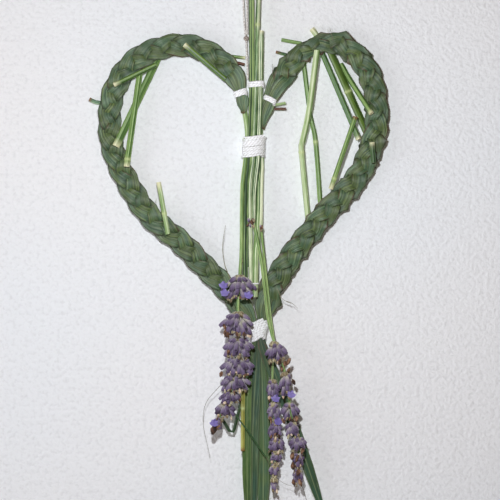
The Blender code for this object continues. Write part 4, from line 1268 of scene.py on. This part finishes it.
def blade(name, width, material, dry, line, seed):
    route = Route(line)
    start_clean()
    bpy.ops.mesh.primitive_grid_add(x_subdivisions=BLADE_COLUMNS, size=2,
        y_subdivisions=round(route.length / BLADE_ROW))
    piece = bpy.context.object
    piece.name = piece.data.name = f"{name}_leaf"
    points = points_of(piece) * MM
    v = points[:, 0]
    share = (points[:, 1] + 1) / 2
    spread = BLADE_FOOT + (1 - BLADE_FOOT) * smooth(share / BLADE_FOOT_END)
    pointed = 1 - (1 - BLADE_TIP) * smooth((share - BLADE_POINT_START) / (1 - BLADE_POINT_START))
    half = width / 2 * spread * pointed
    distance = share * route.length
    middle, along, _, _ = route.frame_at(distance)
    side = np.stack([-along[:, 2], 0 * v, along[:, 0]], -1)
    spots = np.stack([distance, v * 2, 0 * v], -1)
    ripple = noise_at(spots, 9.0, seed)
    fold = 0.1 * half * np.abs(v) + 0.12 * ripple
    edge = half * (1 + 0.05 * noise_at(spots, 5.0, seed + 3) * np.abs(v) ** 4)
    places = middle + side * (v * edge)[:, None]
    places[:, 1] -= fold
    dry_edge = smooth(1.2 * noise_at(spots, 4.0, seed + 7) + 0.3) * smooth((np.abs(v) - 0.55) / 0.4)
    remember(piece, "grain", np.stack([distance + 50 * seed, v * half, 0 * v], -1))
    # Painted shade: darker near the foot, under the binding, and a dark line along one edge, where the next
    # blade overlaps.
    shade = np.maximum(0.45 * (1 - smooth(distance / 30)), 0.7 * smooth((v - 0.84) / 0.12))
    remember(piece, "marks", np.stack([np.abs(v), shade, dry * dry_edge], -1))
    put_in_frame(piece, places)
    select_only(piece)
    bpy.ops.object.modifier_add(type="SOLIDIFY")
    piece.modifiers["Solidify"].thickness = BLADE_THICKNESS * MM
    piece.modifiers["Solidify"].offset = 0.0
    bpy.ops.object.modifier_apply(modifier="Solidify")
    return finish_piece(piece, material, (name,))


for number, (name, (width, material, dry, line)) in enumerate(BLADES.items()):
    print(name, "faces:", len(blade(name, width, material, dry, line, number + 2).data.polygons))

# %% Tail straw and thin stems
tail_straw = reed("tail_straw_reed", [(-3.4, -3.6, -110.0), (-5.4, -3.1, -122.0), (-6.3, -3.0, -135.0),
    (-6.5, -3.0, -167.2)], 2.3, straw_dry, hollow=(False, True), brown=(0.0, 1.6), knots=(34.0,),
    seed=51)
place_reed(tail_straw, ("tail_straw",))
tail_stem = reed("tail_stem_reed", [(-11.3, -4.5, -146.0), (-6.5, -4.7, -152.4), (-3.0, -4.4, -157.0),
    (3.0, -3.2, -166.0), (6.2, -2.7, -170.4)], 0.8, straw_deep, hollow=(False, False), seed=52)
place_reed(tail_stem, ("tail_stem",))
looped_stem = reed("looped_leaf_stem", [(-5.6, -0.5, -134.0), (-9.4, -0.8, -148.0),
    (-12.4, -1.2, -157.2), (-17.6, -1.6, -150.2)], 1.9, stem_dark, hollow=(False, False), flat=0.5,
    seed=53)
place_reed(looped_stem, ("looped_stem",))
print("tail pieces: 3")

# %% [markdown]
# ## Loose fibres
#
# Torn fibres and hairs of the leaves stand out here and there. They are thinner than half
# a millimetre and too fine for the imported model. Each starts at the plait, a tie or a sprig.

# %% Fibres
FIBRES = {
    "fibre_left_low": (0.46, [(-13, -1, -73), (-14.8, -1.4, -69), (-16.8, -1.4, -63), (-17.6, -1.4, -54),
        (-16, -1.2, -43)]),
    "fibre_hook": (0.6, [(-7, -4.8, -60.6), (-6.4, -5.4, -62.6), (-7.2, -5.6, -64.6),
        (-8.6, -5.2, -66.4)]),
    "fibre_left_curl": (0.34, [(-13.2, -5, -125), (-19.6, -3.6, -132), (-26.8, -2, -141),
        (-28.3, -1.6, -152), (-26.2, -1.6, -163), (-24.4, -1.6, -171)]),
    "fibre_point": (0.36, [(12.6, -2.8, -78), (15, -3.4, -83.2), (20.4, -3, -86.4)]),
    "fibre_point_low": (0.3, [(17.4, -2.2, -84.8), (20.8, -2.6, -86), (23.8, -2.4, -88.8)]),
    "fibre_top_right": (0.38, [(43.4, -1, 58), (42.4, -1.6, 62.6), (41.4, -1.6, 66.2)]),
    "fibre_top_right_b": (0.3, [(41.2, -0.6, 60.2), (40.6, -1, 63), (40.4, -1, 65.6)]),
    "fibre_right_tie": (0.4, [(10.8, -1.2, 37), (9.8, -1.6, 42.6), (9.9, -1.6, 46)]),
    "fibre_left_side": (0.36, [(-70.2, -1, -5), (-71.6, -1.2, -11.6)]),
    "fibre_left_inner": (0.34, [(-56.6, -1.2, -33), (-54.6, -1.2, -30.4), (-54.2, -1.2, -28)]),
    "fibre_tail": (0.3, [(6, -3, -170), (12, -1.6, -181.6), (18, -1.2, -186), (24.4, -1.2, -187)]),
    "fibre_tail_low": (0.3, [(25, -4.8, -184), (27.4, -3, -190), (29.8, -2, -200)]),
}

for number, (name, (width, line)) in enumerate(FIBRES.items()):
    route = Route(line)
    fibre = rod(name, route.length, width / 2, 6, max(4, round(route.length / 2)))
    points = points_of(fibre)
    remember(fibre, "grain", points + 3.0 * number)
    remember(fibre, "marks", 0 * points)
    points[:, :2] *= (1 - 0.55 * points[:, 2:] / route.length)
    set_points(fibre, points)
    lay_along(fibre, route)
    finish_piece(fibre, fibre_brown)
print("fibres:", len(FIBRES))

# %% [markdown]
# ## Wall, floor and light
#
# The ornament hangs on a white plaster wall. The wall is a plane close behind it with a
# fine plaster bump. Its back is clear, and it lets the lamp behind it through, so that views
# from behind still show the object. The pale floor lies well below.
#
# The photograph was taken with a small flash just above the lens, which throws short hard
# shadows down to the right. A window lamp on the left and a dim warm room soften them, so
# that a colour renders about as it is written. A lamp straight behind lights only the backs.

# %% Wall and floor
WALL_DEPTH = 6.4
WALL_SIZE = 3.0
FLOOR_DEPTH = 0.62  # metres below the nail


def plaster(name, colour, grain_mm, depth, glow=0.0):
    material, tree, shader = new_material(name, 0.9)
    spot = add(tree, "ShaderNodeTexCoord").outputs["Object"]
    grit = add(tree, "ShaderNodeTexNoise", {"Vector": spot, "Scale": 1000 / grain_mm, "Detail": 4.0})
    cloud = add(tree, "ShaderNodeTexNoise", {"Vector": spot, "Scale": 6.0, "Detail": 1.0})
    tint = add(tree, "ShaderNodeMix", {"Factor": cloud, "A": colour, "B": "eceae9"}, data_type="RGBA")
    pits = add(tree, "ShaderNodeMapRange", {"Value": grit, "From Min": 0.5, "From Max": 0.3,
        "To Max": 0.4})
    pitted = add(tree, "ShaderNodeMix", {"Factor": pits, "A": tint, "B": "cfd0d2"}, data_type="RGBA")
    tree.links.new(pitted.outputs["Result"], shader.inputs["Base Color"])
    bump = add(tree, "ShaderNodeBump", {"Height": grit, "Strength": 1.0, "Distance": depth})
    tree.links.new(bump.outputs["Normal"], shader.inputs["Normal"])
    if glow:
        looked_at = add(tree, "ShaderNodeLightPath").outputs["Is Camera Ray"]
        pale = add(tree, "ShaderNodeMath", {0: looked_at, 1: glow}, operation="MULTIPLY")
        shader.inputs["Emission Color"].default_value = paint(colour)
        tree.links.new(pale.outputs[0], shader.inputs["Emission Strength"])
    clear = add(tree, "ShaderNodeBsdfTransparent")
    behind = add(tree, "ShaderNodeNewGeometry").outputs["Backfacing"]
    to_lamp = add(tree, "ShaderNodeLightPath").outputs["Is Shadow Ray"]
    passed = add(tree, "ShaderNodeMath", {0: behind, 1: to_lamp}, operation="MAXIMUM")
    mixed = add(tree, "ShaderNodeMixShader", {0: passed, 1: shader, 2: clear})
    tree.links.new(mixed.outputs[0], tree.nodes["Material Output"].inputs["Surface"])
    return material


def backdrop(name, location, rotation, material):
    start_clean()
    bpy.ops.mesh.primitive_plane_add(size=WALL_SIZE, location=location, rotation=rotation)
    plane = bpy.context.object
    plane.name = plane.data.name = name
    plane.data.materials.append(material)
    return plane


wall_place = place((0, WALL_DEPTH, -60))
backdrop("plaster_wall", wall_place, (math.radians(90), 0, 0), plaster("plaster_white", "e6ecf1", 2.2,
    0.0009))
backdrop("pale_floor", (0, 0, -FLOOR_DEPTH), (0, 0, 0), plaster("floor_pale", "dcdfe2", 1.5, 0.0002,
    glow=0.7))

# %% Light


def soft_lamp(name, offset, size, power, colour="ffffff"):
    """A square lamp at an offset in metres from the middle of the photograph, aimed at it."""
    data = bpy.data.lights.new(name, "AREA")
    data.size = size
    data.energy = power
    data.color = paint(colour)[:3]
    lamp = bpy.data.objects.new(name, data)
    lamp.location = PHOTO_MIDDLE + Vector(offset)
    lamp.rotation_euler = (-Vector(offset)).to_track_quat("-Z", "Y").to_euler()
    bpy.context.scene.collection.objects.link(lamp)


soft_lamp("flash_above_lens", (-0.03, -0.5, 0.1), 0.02, 2.14, "f8fbff")
soft_lamp("window_left", (-0.62, -0.42, -0.1), 0.5, 1.5, "f4f8ff")
soft_lamp("fill_behind", (0.0, 1.3, 0.0), 0.6, 9.0)

world = bpy.data.worlds.new("warm_room")
bpy.context.scene.world = world
world.use_nodes = True
room = world.node_tree
seen = add(room, "ShaderNodeLightPath").outputs["Is Camera Ray"]
dim = add(room, "ShaderNodeBackground", {"Color": "ffcfae", "Strength": 0.13})
pale = add(room, "ShaderNodeBackground", {"Color": "e8ebef", "Strength": 0.9})
both = add(room, "ShaderNodeMixShader", {0: seen, 1: dim, 2: pale})
room.links.new(both.outputs[0], room.nodes["World Output"].inputs["Surface"])
bpy.context.scene.view_settings.view_transform = "Standard"
print("light ready")
